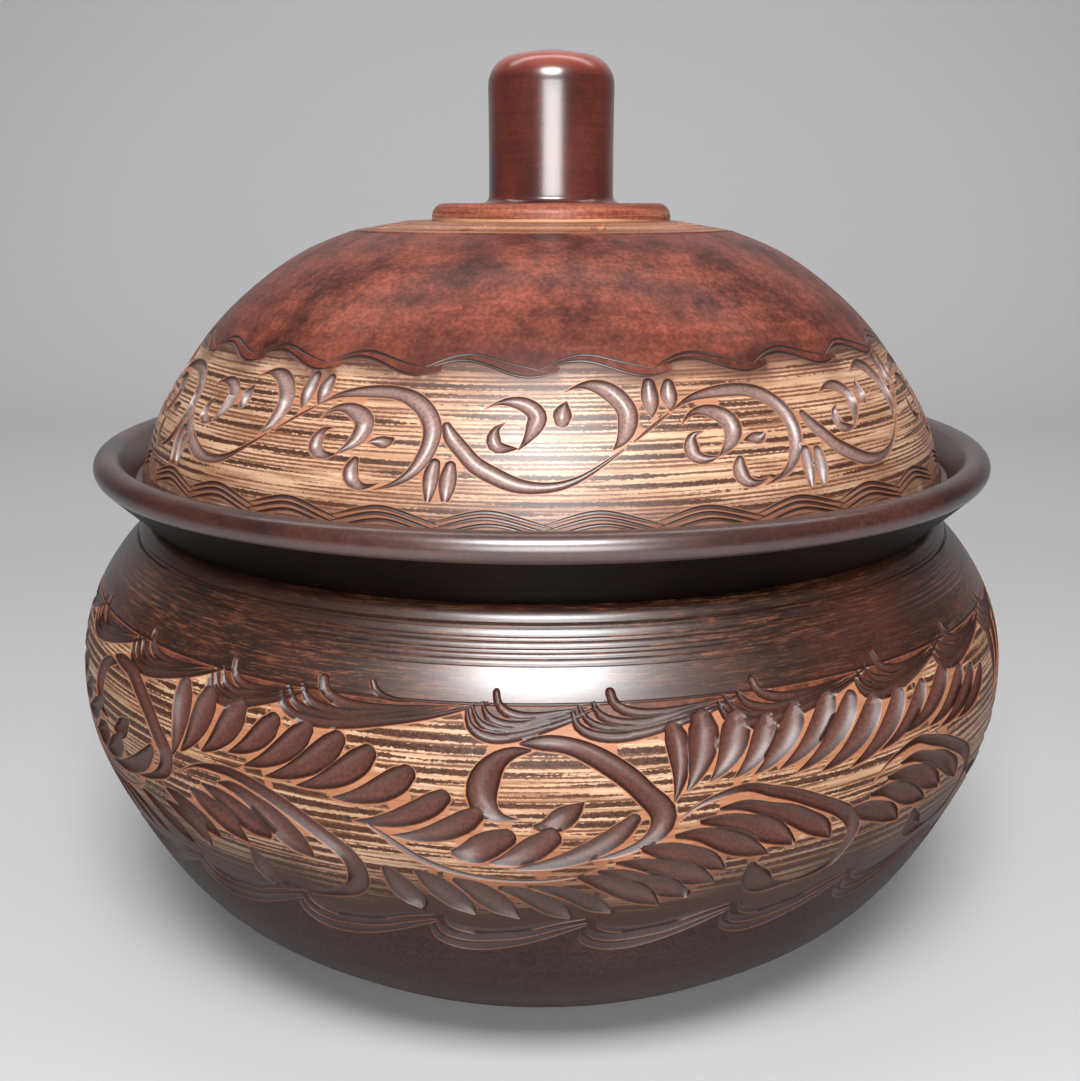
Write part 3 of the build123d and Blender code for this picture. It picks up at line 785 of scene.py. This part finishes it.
upper_copies, lower_copies = 23, 29
upper_wave = [
    [(-0.02, 45.6, 0.4), (0.18, 48.4, 0.8), (0.38, 49.4, 0.9), (0.62, 47.8, 0.8), (1.0, 45.0, 0.4)],
    [(0.05, 46.0, 0.4), (0.2, 47.4, 0.9), (0.38, 47.6, 1.0), (0.6, 45.6, 0.9), (0.85, 43.4, 0.8),
     (1.12, 44.6, 0.3)],
]
lower_wave = [
    [(-0.5, 7.4, 0.3), (-0.25, 9.2, 1.0), (0, 10.3, 1.3), (0.28, 9, 1.2), (0.6, 6.8, 0.4)],
    [(-0.5, 6, 0.3), (-0.25, 7.8, 1.0), (0, 8.9, 1.2), (0.3, 7.5, 1.1), (0.6, 5.4, 0.4)],
    [(-0.45, 4.8, 0.3), (-0.2, 6.5, 1.0), (0.05, 7.4, 1.1), (0.33, 6, 1.0), (0.6, 4.4, 0.4)],
]


lid_step = 1.1
upper_strokes = spread_out(upper_wave, FULL_TURN / upper_copies)
lower_strokes = spread_out(lower_wave, FULL_TURN / lower_copies)
upper_starts, lower_starts = all_round(-15.5, upper_copies), all_round(-6.2, lower_copies)
lid_strokes = [
    repeated(vine, vine_starts, lid_per_degree, lid_step, 1.1, WIDE_TOOL),
    repeated(upper_strokes, upper_starts, lid_per_degree, lid_step, 1.0, THIN_TOOL),
    repeated(lower_strokes, lower_starts, lid_per_degree, lid_step, 0.9, THIN_TOOL),
]
crest_drop = [leaf((-2.5, 3.2), (5, 12.2), 4.2)]
crest_strokes = [
    repeated(crest_drop, all_round(-21.3, 9), crest_per_degree, lid_step, 1.0, WIDE_TOOL),
]

# %% [markdown]
# ## Clay finishes
# All the clay is the same red body. Smoke made it dark, wax made it shine, and wherever a tool
# scraped the skin the pale or orange clay below shows. The colours come from noise read in
# Object coordinates, because a turned pot has no seam there. Streaks that run round the pot
# are the same noise, squeezed in height.


# %% Tools for finishes
COAT_IOR = 2.6  # high, so that a thin coat is bright head on without a haze at the sides
COAT_SMOOTHER = 0.04  # than the clay below it


class Finish:
    """A material being built: a Principled shader and the nodes that feed it."""

    def __init__(self, name, roughness, shine, coat):
        self.material = bpy.data.materials.new(name)
        self.material.use_nodes = True
        self.tree = self.material.node_tree
        self.shader = self.tree.nodes["Principled BSDF"]
        for label, value in (
            ("Roughness", roughness), ("Specular IOR Level", shine), ("Coat Weight", coat),
            ("Coat Roughness", roughness - COAT_SMOOTHER), ("Coat IOR", COAT_IOR),
        ):
            self.shader.inputs[label].default_value = value
        self.place = add_node(self.tree, "ShaderNodeTexCoord").outputs["Object"]

    def noise_at(self, vector, detail, rough):
        """Noise at a place, in features per unit."""
        return add_node(self.tree, "ShaderNodeTexNoise", {
            "Vector": vector, "Scale": 1.0, "Detail": detail, "Roughness": rough}).outputs[0]

    def noise(self, scale, detail=3.0, rough=0.55, offset=(0, 0, 0)):
        """Noise in object space; the scale is in features per metre, one for each axis."""
        squeezed = add_node(self.tree, "ShaderNodeMapping", {
            "Vector": self.place, "Scale": scale, "Location": offset})
        return self.noise_at(squeezed.outputs[0], detail, rough)

    def mark(self, name):
        """What the mesh carries under that name at each of its points."""
        return add_node(self.tree, "ShaderNodeAttribute", attribute_name=name).outputs["Fac"]

    def calc(self, operation, first, second=0.0):
        """The result of an operation on one or two values."""
        return math_node(self.tree, operation, first, second)

    def ramp(self, value, stops):
        """A value read through colour stops, given as place and colour or grey."""
        node = add_node(self.tree, "ShaderNodeValToRGB", {0: value})
        ramp = node.color_ramp
        while len(ramp.elements) < len(stops):
            ramp.elements.new(1.0)
        for element, (at, colour) in zip(ramp.elements, stops):
            element.position = at
            element.color = (*(colour if isinstance(colour, tuple) else (colour,) * 3), 1)
        return node.outputs[0]

    def mix(self, share, low, high, blend="MIX"):
        """Two colours mixed; each is a socket or a plain colour."""
        low, high = ((*c, 1) if isinstance(c, tuple) else c for c in (low, high))
        return add_node(self.tree, "ShaderNodeMix", {0: share, 6: low, 7: high},
                        data_type="RGBA", blend_type=blend).outputs[2]

    def times(self, colour, other, share=1.0):
        """A colour multiplied by a share of another one."""
        return self.mix(share, colour, other, "MULTIPLY")

    def height(self, low, high):
        """0 at a height, 1 at another, in millimetres above the table."""
        z = add_node(self.tree, "ShaderNodeSeparateXYZ", {0: self.place}).outputs["Z"]
        return add_node(self.tree, "ShaderNodeMapRange", {
            "Value": z, "From Min": low * MM, "From Max": high * MM}).outputs[0]

    def colour(self, socket):
        """Gives the shader its colour, and keeps it for what is laid over it later."""
        self.base = socket
        self.tree.links.new(socket, self.shader.inputs["Base Color"])

    def bump(self, socket, distance):
        """Fine relief, in metres."""
        node = add_node(self.tree, "ShaderNodeBump", {
            "Height": socket, "Distance": distance, "Strength": 0.7})
        self.tree.links.new(node.outputs[0], self.shader.inputs["Normal"])


# %% Dark burnished clay
def smoked(name, dark, light, roughness, shine, coat=0.0, streak=(18, 18, 260), lines=0.5,
           blotch=(26, 26, 34), fleck=0.6, ragged=0.6):
    """Smoked clay: blotches, fine speckle and faint lines left by the wheel."""
    finish = Finish(name, roughness, shine, coat)
    colour = finish.ramp(finish.noise(blotch, 5, ragged), ((0.35, dark), (0.65, light)))
    speckle = finish.noise((900, 900, 900), 2, 0.6)
    colour = finish.times(colour, finish.ramp(speckle, ((0.42, 0.6), (0.6, 1.2))), fleck)
    turned_lines = finish.noise(streak, 3, 0.6, (3, 1, 2))
    colour = finish.times(colour, finish.ramp(turned_lines, ((0.38, 0.6), (0.62, 1.25))), lines)
    finish.colour(colour)
    finish.bump(finish.mix(0.45, turned_lines, speckle), 0.00025)
    return finish


belly_clay = smoked(
    "matt smoked clay", (0.042, 0.021, 0.019), (0.062, 0.034, 0.031), 0.5, 0.05, 0.06,
    lines=0.3).material
rim_clay = smoked(
    "waxed black-brown clay", (0.027, 0.008, 0.006), (0.078, 0.024, 0.019), 0.34, 0.1, 0.50,
    streak=(60, 60, 500), lines=0.3).material
# Near black: painted shade on the underside of the flare, where the rim hangs over it.
flare_shade_clay = smoked(
    "painted shade under the rim", (0.003, 0.0015, 0.0012), (0.008, 0.004, 0.003), 0.5, 0.1,
    streak=(60, 60, 500), lines=0.3).material
crest_clay = smoked(
    "pale turned clay", (0.17, 0.055, 0.032), (0.46, 0.21, 0.12), 0.45, 0.1, 0.08,
    streak=(8, 8, 2600), lines=0.9, blotch=(9, 9, 1700)).material
inside_clay = smoked(
    "plain red clay", (0.17, 0.07, 0.05), (0.22, 0.095, 0.07), 0.6, 0.3).material
ridge_clay = smoked(
    "orange ridges", (0.035, 0.011, 0.007), (0.20, 0.062, 0.032), 0.4, 0.1, 0.2,
    streak=(200, 200, 300), lines=0.3, blotch=(150, 150, 260)).material


# %% The dome, with a veil of smoke in places above the waves
dome = smoked("waxed red-brown clay", (0.058, 0.013, 0.009), (0.26, 0.063, 0.037), 0.38, 0.1, 0.10,
              streak=(30, 30, 420), blotch=(75, 75, 36), fleck=0.7, ragged=0.72)
patches = dome.ramp(dome.noise((11, 11, 11), 3, 0.6, (1, 6, 2)), ((0.42, 0.1), (0.58, 0.8)))
veil = dome.times(dome.height(lid_top - 16.0, lid_top - 33.0), patches)
dome.colour(dome.mix(veil, dome.base, (0.075, 0.022, 0.017)))
dome_clay = dome.material


# %% The knob's foot disc, scraped paler towards its lower edge
disc = smoked("bare red clay", (0.24, 0.058, 0.034), (0.40, 0.12, 0.07), 0.45, 0.1, 0.08,
              streak=(40, 40, 900), lines=0.8)
scrape = disc.ramp(disc.noise((14, 14, 1100), 4, 0.65, (5, 5, 5)), ((0.46, 0.0), (0.56, 0.85)))
scrape = disc.times(scrape, disc.height(disc_top - 1.5, lid_top + 1.0))
disc.colour(disc.mix(scrape, disc.base, (0.60, 0.33, 0.18)))
disc_clay = disc.material


# %% The knob, worn to bare red where hands rub it
knob = smoked("waxed red clay", (0.045, 0.009, 0.007), (0.13, 0.027, 0.018), 0.29, 0.1, 0.52,
              streak=(30, 30, 700), lines=0.3, blotch=(60, 60, 24), fleck=0.3, ragged=0.5)
rubbed = knob.ramp(knob.noise((60, 60, 60), 4, 0.6), ((0.35, 0.45), (0.6, 1.0)))
worn = knob.times(knob.height(knob_top - 8.0, knob_top - 3.0), rubbed)
knob.colour(knob.mix(worn, knob.base, (0.32, 0.062, 0.038)))
knob_clay = knob.material


# %% The shoulder
shoulder = smoked(
    "burnished black-brown clay", (0.018, 0.005, 0.003), (0.060, 0.015, 0.008), 0.38, 0.1, 0.62,
    streak=(12, 12, 1500), lines=0.7)
fine = shoulder.noise((120, 120, 2200), 5, 0.85, (2, 2, 5))
patchy = shoulder.ramp(shoulder.noise((12, 12, 90), 3, 0.6, (7, 7, 7)), ((0.35, 0.15), (0.6, 1.0)))
scuffed = shoulder.times(shoulder.ramp(fine, ((0.51, 0.0), (0.62, 0.75))), patchy)
shoulder.colour(shoulder.mix(scuffed, shoulder.base, (0.26, 0.085, 0.036)))
shoulder_clay = shoulder.material


# %% Scratched band
DRIFT = 1.6  # periods that a line wanders up and down round the pot
NEXT_LINE = 7.31  # step in the noise from one line to the next, so that they differ
DASH_ENDS = 0.16  # how gradually a dash gets its thickness, in noise
NO_DASH = -0.12  # thickness between dashes: below 0, so that rough edges don't show there
ROUGH_EDGE, SOFT_EDGE = 0.55, 0.07  # of a line, in periods


def combed(finish, period, seed, dash, cover, thick, ragged):
    """Level lines a period (mm) apart, each broken into dashes of its own.

    Dash is how many of them fit a metre, cover how much noise one needs to show, and thick
    the share of the period that it fills at most.
    """
    calc = finish.calc
    part = add_node(finish.tree, "ShaderNodeSeparateXYZ", {0: finish.place}).outputs
    drift = calc("MULTIPLY", finish.noise((9, 9, 60), 2, 0.5, (seed, 0, 0)), DRIFT)
    level = calc("ADD", calc("MULTIPLY", part["Z"], 1 / (period * MM)), drift)
    number = calc("MULTIPLY", calc("FLOOR", level), NEXT_LINE)
    away = calc("ABSOLUTE", calc("SUBTRACT", calc("FRACT", level), 0.5))
    spot = add_node(finish.tree, "ShaderNodeCombineXYZ", {
        "X": calc("MULTIPLY", part["X"], dash), "Y": calc("MULTIPLY", part["Y"], dash),
        "Z": calc("ADD", number, seed)})
    half = add_node(finish.tree, "ShaderNodeMapRange", {
        "Value": finish.noise_at(spot.outputs[0], 2.0, 0.5),
        "From Min": cover, "From Max": cover + DASH_ENDS, "To Min": NO_DASH, "To Max": thick / 2})
    rough = calc("MULTIPLY", calc("SUBTRACT", ragged, 0.5), ROUGH_EDGE)
    edge = calc("ADD", calc("SUBTRACT", half.outputs[0], away), rough)
    return add_node(finish.tree, "ShaderNodeMapRange", {
        "Value": edge, "From Min": 0.0, "From Max": SOFT_EDGE}).outputs[0]


def scratched(name, pale, warm, bars, threads, darker_colour, shine, coat):
    """Pale clay combed through dark skin, which stays behind as ragged level lines."""
    finish = Finish(name, 0.45, shine, coat)
    scraped, darkening = finish.mark("scraped"), finish.mark("darkening")
    ground = finish.ramp(finish.noise((40, 40, 160), 4, 0.6), ((0.35, warm), (0.6, pale)))
    grain = finish.noise((45, 45, 1900), 3, 0.6, (4, 4, 4))
    ground = finish.times(
        ground, finish.ramp(grain, ((0.38, (0.5, 0.4, 0.33)), (0.54, 1.0))), 0.8)
    ragged = finish.noise((900, 900, 1500), 2, 0.65, (9, 9, 9))
    clean = finish.ramp(scraped, ((0.84, 1.0), (1.0, 0.1)))
    thin = finish.times(combed(finish, *threads, ragged), clean)
    thick = finish.times(combed(finish, *bars, ragged), clean)
    skin = finish.ramp(ragged, ((0.35, (0.03, 0.012, 0.007)), (0.7, (0.12, 0.045, 0.025))))
    edge = finish.ramp(scraped, ((0.8, 0.0), (1.0, 0.8)))
    colour = finish.mix(edge, ground, (0.43, 0.16, 0.075))
    colour = finish.mix(thin, colour, (0.17, 0.07, 0.038))
    colour = finish.mix(thick, colour, skin)
    # Darker in ragged patches where the mesh's darkening mark is high.
    darker_share = finish.mix(0.6, darkening, finish.noise((18, 18, 420), 3, 0.6), "OVERLAY")
    colour = finish.mix(darker_share, colour, darker_colour)
    finish.colour(colour)
    finish.bump(finish.mix(0.5, thick, grain), 0.0002)
    return finish.material


pot_scratched = scratched(
    "combed pale clay of the pot", (0.66, 0.43, 0.28), (0.50, 0.27, 0.15),
    (2.3, 3.0, 15, 0.36, 0.68), (1.1, 8.0, 20, 0.36, 0.6), (0.050, 0.022, 0.016), 0.1, 0.08)
lid_scratched = scratched(
    "combed pale clay of the lid", (0.66, 0.42, 0.27), (0.48, 0.25, 0.14),
    (2.0, 5.0, 16, 0.42, 0.55), (0.9, 2.0, 20, 0.36, 0.6), (0.085, 0.028, 0.018), 0.1, 0.32)


# %% Cut clay
def gouged(name, sides, bottom, shine, coat):
    """The bottom of a cut: bare brown clay, with painted shade darkening its sides, orange along
    its edge.
    """
    finish = Finish(name, 0.43, shine, coat)
    depth, darkening = finish.mark("depth"), finish.mark("darkening")
    # Painted shade: the stops for a cut's sides are darker than its bottom, so the walls of each
    # cut look shaded.
    colour = finish.ramp(finish.calc("MULTIPLY", depth, 0.5), (
        (0.0, (0.36, 0.12, 0.055)), (0.06, (0.20, 0.06, 0.03)), (0.13, sides), (0.28, sides),
        (0.62, bottom)))
    # Where the band is darker, the sides of a cut still get painted shade, darkest at 0.3.
    darkened_cut_with_painted_shade = finish.ramp(depth, (
        (0.0, (0.15, 0.056, 0.034)), (0.3, (0.022, 0.009, 0.007)), (1.0, (0.058, 0.026, 0.021))))
    colour = finish.mix(darkening, colour, darkened_cut_with_painted_shade)
    speckle = finish.noise((1300, 1300, 1300), 3, 0.7)
    colour = finish.times(colour, finish.ramp(speckle, ((0.35, 0.55), (0.62, 1.25))), 0.7)
    finish.colour(colour)
    finish.bump(speckle, 0.00017)
    return finish.material


# The first colour of each is the painted shade down a cut's sides, the second its bottom.
cut_clay = gouged(
    "cut clay of the pot", (0.032, 0.010, 0.007), (0.105, 0.038, 0.028), 0.1, 0.22)
lid_cut_clay = gouged(
    "cut clay of the lid", (0.072, 0.031, 0.023), (0.27, 0.16, 0.135), 0.1, 0.42)
print("finishes:", len(bpy.data.materials))

# %% [markdown]
# ## Putting a piece together
# The turned parts and the carved band are joined, their shared rings are merged, and each face
# gets its clay. A triangulated band would shade in patches, so the faces between the cuts take
# their normals from the outline, and the edges of the cuts are marked sharp.

# %% Joining
WELD = 1e-6  # metres within which points of two parts are one


def turned_part(outline, main_clay, choose=None, off_centre=0.0):
    """A turned skin for join: each face has the main clay, or one chosen by radius and height."""
    skin = turn(outline, main_clay, off_centre)
    if choose is None:
        chosen = [main_clay] * len(skin.polygons)
    else:
        chosen = [choose(hypot(p.center[0], p.center[1]) / MM, p.center[2] / MM)
                  for p in skin.polygons]
    return *mesh_parts(skin, MM), chosen, {}


def carved_part(band, choose):
    """A carved band for join, its clays chosen by angle, place up the wall and being cut."""
    chosen = list(map(choose, band["angle"], band["along"], band["cut"]))
    return band["places"], band["faces"], chosen, band


def join(name, parts, clays):
    """One mesh object from parts: places (mm), faces, the clay of each face, and marks."""
    places, faces, clay_of = [], [], []
    number = {clay.name: i for i, clay in enumerate(clays)}
    marks = {"depth": [], "scraped": [], "darkening": []}
    for some_places, some_faces, some_clays, some_marks in parts:
        start = len(places)
        places.extend(tuple(p * MM) for p in some_places)
        faces.extend(tuple(int(i) + start for i in f) for f in some_faces)
        clay_of.extend(number[clay.name] for clay in some_clays)
        for mark, values in marks.items():
            values.extend(some_marks.get(mark, [0] * len(some_places)))
    mesh = bpy.data.meshes.new(name)
    mesh.from_pydata(places, [], faces)
    for clay in clays:
        mesh.materials.append(clay)
    mesh.polygons.foreach_set("material_index", clay_of)
    for mark, values in marks.items():
        mesh.attributes.new(mark, "FLOAT", "POINT").data.foreach_set("value", values)
    work = bmesh.new()
    work.from_mesh(mesh)
    bmesh.ops.remove_doubles(work, verts=work.verts, dist=WELD)
    loose = [v for v in work.verts if not v.link_faces]
    bmesh.ops.delete(work, geom=loose, context="VERTS")
    open_edges = sum(1 for e in work.edges if len(e.link_faces) != 2)
    work.to_mesh(mesh)
    work.free()
    mesh.shade_smooth()
    mesh.calc_loop_triangles()
    print(name, len(mesh.vertices), "points,", len(mesh.loop_triangles), "triangles,",
          open_edges, "open edges")
    return new_object(name, mesh)


# %% Shading
SHARP = radians(32)  # the least angle between faces that makes a crisp edge
AT_WALL = 1.0  # mm that a point may lie inside the outline and still shade as wall


def shade(obj, wall=None, cut=None, band=None):
    """Crisp edges round the cuts, and the wall's own normals on the faces between them."""
    mesh = obj.data
    mesh.set_sharp_from_angle(angle=SHARP)
    if wall is None:
        return
    is_cut = read_all(mesh.polygons, "material_index", kind=int) == mesh.materials.find(cut.name)
    sides = np.array([len(face.vertices) for face in mesh.polygons])
    face_of = np.repeat(np.arange(len(sides)), sides)
    corners = read_all(mesh.loops, "vertex_index", kind=int)
    edge_of = read_all(mesh.loops, "edge_index", kind=int)
    cuts_at = np.bincount(edge_of, is_cut[face_of], len(mesh.edges))
    layer = mesh.attributes["sharp_edge"].data
    sharp = read_all(layer, "value", kind=bool)
    sharp[cuts_at == 1] = True
    sharp[cuts_at == 2] = False
    layer.foreach_set("value", sharp)
    places = read_all(mesh.vertices, "co", 3)[corners]
    low, high = wall.at(band[0])[0, 1] - 0.01, wall.at(band[1])[0, 1] + 0.01
    z, r = places[:, 2] / MM, np.hypot(*places[:, :2].T) / MM
    outside = r > np.interp(z, *wall.line.T[::-1]) - AT_WALL
    on_wall = ~is_cut[face_of] & (z > low) & (z < high) & outside
    out = wall.normal_at_height(z)
    around = places[:, :2] / MM / np.maximum(r, 1e-6)[:, None]
    normal = np.column_stack([around * out[:, :1], out[:, 1]])
    normal[~on_wall] = 0
    mesh.normals_split_custom_set([tuple(n) for n in normal])

# %% [markdown]
# ## The pot
# The band lies between 66 and 142 mm up the wall. What is above and below it is plain turned
# wall, with a few thin lines that the potter's tool left on the shoulder.

# %% Turn and carve the pot
band_low, band_high, pot_fill = 66.0, 142.0, 3.0
shoulder_lines = (145.4, 147.2, 148.6, 149.7, 151.5, 152.6)
line_half, line_depth = 0.3, 0.18

low_rows = np.concatenate([[0.9, 3, 6], np.arange(10, band_low, 4), [band_low]])
low_outline = [(0, 0), (foot_radius / 2, 0), (foot_radius - foot_bevel, 0)]
low_outline += [(foot_radius + 0.1, 0.08), *pot_outside.at(low_rows)]
shoulder_rows = [band_high]
for line in shoulder_lines:
    shoulder_rows += [line - line_half, line, line + line_half]
shoulder_rows.append(roll_foot - 0.9)
sunk = np.array([line_depth if s in shoulder_lines else 0.0 for s in shoulder_rows])
shoulder_line = pot_outside.at(np.array(shoulder_rows), sunk)
high_outline = [*shoulder_line, *groove, *roll, *rim[1:], *inside]
band = carved_band(pot_outside, band_low, band_high, pot_per_degree, pot_strokes, pot_fill)


def border_line(strokes, starts, stretches, lowest):
    """The lowest or highest edge of a border's strokes all round, as degrees and millimetres."""
    angles = np.arange(-FULL_TURN / 2, FULL_TURN / 2 + 0.25, 0.5)
    edge = np.full(len(angles), np.nan)
    for start, stretch in zip(starts, stretches):
        for points in strokes:
            line = np.array(points)
            line = line[np.argsort(line[:, 0])]
            for shift in (-FULL_TURN, 0, FULL_TURN):
                at = angles - start - shift
                s = np.interp(at, line[:, 0] * stretch, line[:, 1], np.nan, np.nan)
                edge = np.fmin(edge, s) if lowest else np.fmax(edge, s)
    known = ~np.isnan(edge)
    return angles, np.interp(angles, angles[known], edge[known])


hook_low = border_line(hook_strokes[3:], hook_starts, hook_stretches, True)
scallop_high = border_line(scallop_strokes[:1], scallop_starts, [1] * scallop_copies, False)


def band_clay(angle, s, cut):
    """Which clay a triangle of the pot's band shows."""
    if cut:
        return cut_clay
    if s > hook_top:
        return shoulder_clay
    if s > np.interp(angle, *hook_low):
        return ridge_clay
    return pot_scratched if s > np.interp(angle, *scallop_high) else belly_clay


def high_clay(r, z):
    """Shoulder, the flare under the rim (painted near black as shade), rim or inside, by where the
    face lies.
    """
    if z < neck_height + 0.5 and r > np.interp(z, *pot_outside.line.T[::-1]) - 3:
        return shoulder_clay
    if z > neck_height and r > mouth_radius + 1:
        under = z < neck_height + (r - neck_radius) * 1.2 and r < lip_middle[0] + 2
        return flare_shade_clay if under else rim_clay
    return inside_clay


# The band is darker at the scallops and clears over its next millimetres.
darkening_at_border, darkening_fade = 1.32, 17.0
above_border = band["point_along"] - np.interp(band["point_angle"], *scallop_high)
band["darkening"] = np.clip(darkening_at_border - above_border / darkening_fade, 0, 1)
pot = join("carved_pot", [
    turned_part(low_outline, belly_clay), carved_part(band, band_clay),
    turned_part(high_outline, shoulder_clay, high_clay),
], [belly_clay, shoulder_clay, rim_clay, inside_clay, pot_scratched, cut_clay, ridge_clay,
    flare_shade_clay])
shade(pot, pot_outside, cut_clay, (band_low, band_high))

# %% [markdown]
# ## The lid
# The dome carries one band of carving, darker towards both its borders, and the low cone inside
# its turned ring carries the single drops. Above the upper waves the dome is plain.

# %% Turn and carve the lid
lid_band_low, lid_band_high, lid_fill, crest_fill = 3.6, 52.0, 2.4, 4.0
top_rows = np.arange(lid_band_high, lid_outside.length - 1, 4)
top_outline = [*lid_outside.at(np.append(top_rows, lid_outside.length - 0.8)), *ring_groove]
under_outline = [*lid_under, *lid_edge, lid_outside.at(lid_band_low)[0]]
lid_cut = carved_band(
    lid_outside, lid_band_low, lid_band_high, lid_per_degree, lid_strokes, lid_fill)
crest = Wall([ring_groove[-1], flat_edge])
crest_cut = carved_band(crest, 0, crest.length, crest_per_degree, crest_strokes, crest_fill)
wave_low = border_line(upper_strokes[1:], upper_starts, [1] * upper_copies, True)


def lid_band_clay(angle, s, cut):
    """Which clay a triangle of the lid's band shows."""
    if cut:
        return lid_cut_clay
    return dome_clay if s > np.interp(angle, *wave_low) else lid_scratched


# Darker near the upper waves and over the lowest millimetres of the band.
wave_fade, edge_darkening, edge_fade = 6.0, 0.95, 16.0
below_waves = np.interp(lid_cut["point_angle"], *wave_low) - lid_cut["point_along"]
lid_darkening = np.maximum(1 - below_waves / wave_fade, edge_darkening - lid_cut["point_along"] / edge_fade)
lid_cut["darkening"] = np.clip(lid_darkening, 0, 1)
lid = join("carved_lid", [
    turned_part(under_outline, inside_clay), carved_part(lid_cut, lid_band_clay),
    turned_part(top_outline, dome_clay), carved_part(crest_cut, lambda *_: crest_clay),
    turned_part([flat_edge, (0, lid_top)], crest_clay),
], [dome_clay, inside_clay, lid_scratched, lid_cut_clay, crest_clay])
shade(lid, lid_outside, lid_cut_clay, (lid_band_low, lid_band_high))

# %% [markdown]
# ## The knob
# It was thrown by itself with its foot disc, so it is one turned skin in two clays, and it
# stands a little off the axis.

# %% Turn the knob
def knob_part_clay(r, z):
    """The disc's clay up to its top, the knob's above."""
    return disc_clay if z < disc_top + 0.2 else knob_clay


knob = join("lid_handle", [
    turned_part(knob_outline, knob_clay, knob_part_clay, knob_offset),
], [knob_clay, disc_clay])
shade(knob)

# %% [markdown]
# ## Joining the frame
# Each mesh stands for one CAD node and rides on its body, so the lid and its knob lift off
# together.

# %% Bodies
for piece, node, body, slot in (
    (pot, "pot_body", "pot", "pot_clay"), (lid, "lid_dome", "lid", "lid_clay"),
    (knob, "lid_knob", "lid", "knob_clay"),
):
    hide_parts(node)
    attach(piece, body)

# %% [markdown]
# ## Floor, light and camera
# The pot stands on a pale floor that rolls up into a backdrop. One large soft light hangs high
# in front, so that its reflection lies on the shoulder and the lid. A weaker one stands near
# the camera and draws the line down the knob. A wide faint one overhead keeps the top from
# going black, and a strip behind the pot brightens the backdrop only.

# %% Floor
floor_front, floor_half, bend_start, bend_radius, paper_top = -1.6, 3, 0.9, 0.5, 2.4
profile = [(floor_front, 0)]
profile += [(bend_start + bend_radius * sin(a), bend_radius - bend_radius * cos(a))
            for a in np.linspace(0, pi / 2, 13)]
profile.append((bend_start + bend_radius, paper_top))
floor_mesh = bpy.data.meshes.new("floor")
floor_mesh.from_pydata(
    [(x, y, z) for y, z in profile for x in (-floor_half, floor_half)], [],
    [(2 * i, 2 * i + 1, 2 * i + 3, 2 * i + 2) for i in range(len(profile) - 1)])
floor_mesh.shade_smooth()
floor = new_object("floor", floor_mesh)
paper = bpy.data.materials.new("pale paper")
paper.use_nodes = True
tree, shader = paper.node_tree, paper.node_tree.nodes["Principled BSDF"]
seen = add_node(tree, "ShaderNodeLightPath")
direct = math_node(tree, "MAXIMUM", seen.outputs["Is Camera Ray"], seen.outputs["Is Glossy Ray"])
direct = math_node(tree, "MAXIMUM", direct, seen.outputs["Is Transmission Ray"])
tone = add_node(tree, "ShaderNodeMix", {
    0: direct, 6: (0.16, 0.16, 0.16, 1), 7: (0.62, 0.62, 0.63, 1)}, data_type="RGBA")
tree.links.new(tone.outputs[2], shader.inputs["Base Color"])
shader.inputs["Roughness"].default_value = 0.8
floor_mesh.materials.append(paper)


# %% Lights
def soft_light(name, place, aim, size, power):
    """A square soft light aimed at a point."""
    data = bpy.data.lights.new(name, "AREA")
    data.shape = "RECTANGLE"
    data.size, data.size_y = size
    data.energy = power
    light = new_object(name, data)
    light.location = place
    light.rotation_euler = (Vector(aim) - Vector(place)).to_track_quat("-Z", "Y").to_euler()


soft_light("high_front", (0.0, -0.56, 0.70), (0, -0.05, 0.12), (0.32, 0.24), 6.6)
soft_light("near_camera", (0.02, -0.62, 0.25), (0, 0, 0.15), (0.34, 0.24), 2.2)
soft_light("overhead", (0, 0.2, 1.9), (0, 0, 0), (1.6, 1.6), 1.2)
soft_light("backdrop", (0, 0.45, 1.5), (0, 1.4, 0.6), (2.4, 0.5), 18)
world = bpy.data.worlds.new("room")
world.use_nodes = True
background = world.node_tree.nodes["Background"]
background.inputs["Color"].default_value = (1, 1, 1, 1)
background.inputs["Strength"].default_value = 0.06
bpy.context.scene.world = world

# %% Camera
camera_data = bpy.data.cameras.new("camera")
camera_data.sensor_fit, camera_data.sensor_width, camera_data.lens = "HORIZONTAL", 36, 43.33
camera = new_object("camera", camera_data)
camera.location = (-0.0005, -0.401, 0.217)
camera.rotation_euler = (radians(75.45), 0, 0)
bpy.context.scene.camera = camera
bpy.context.scene.view_settings.view_transform = "Standard"
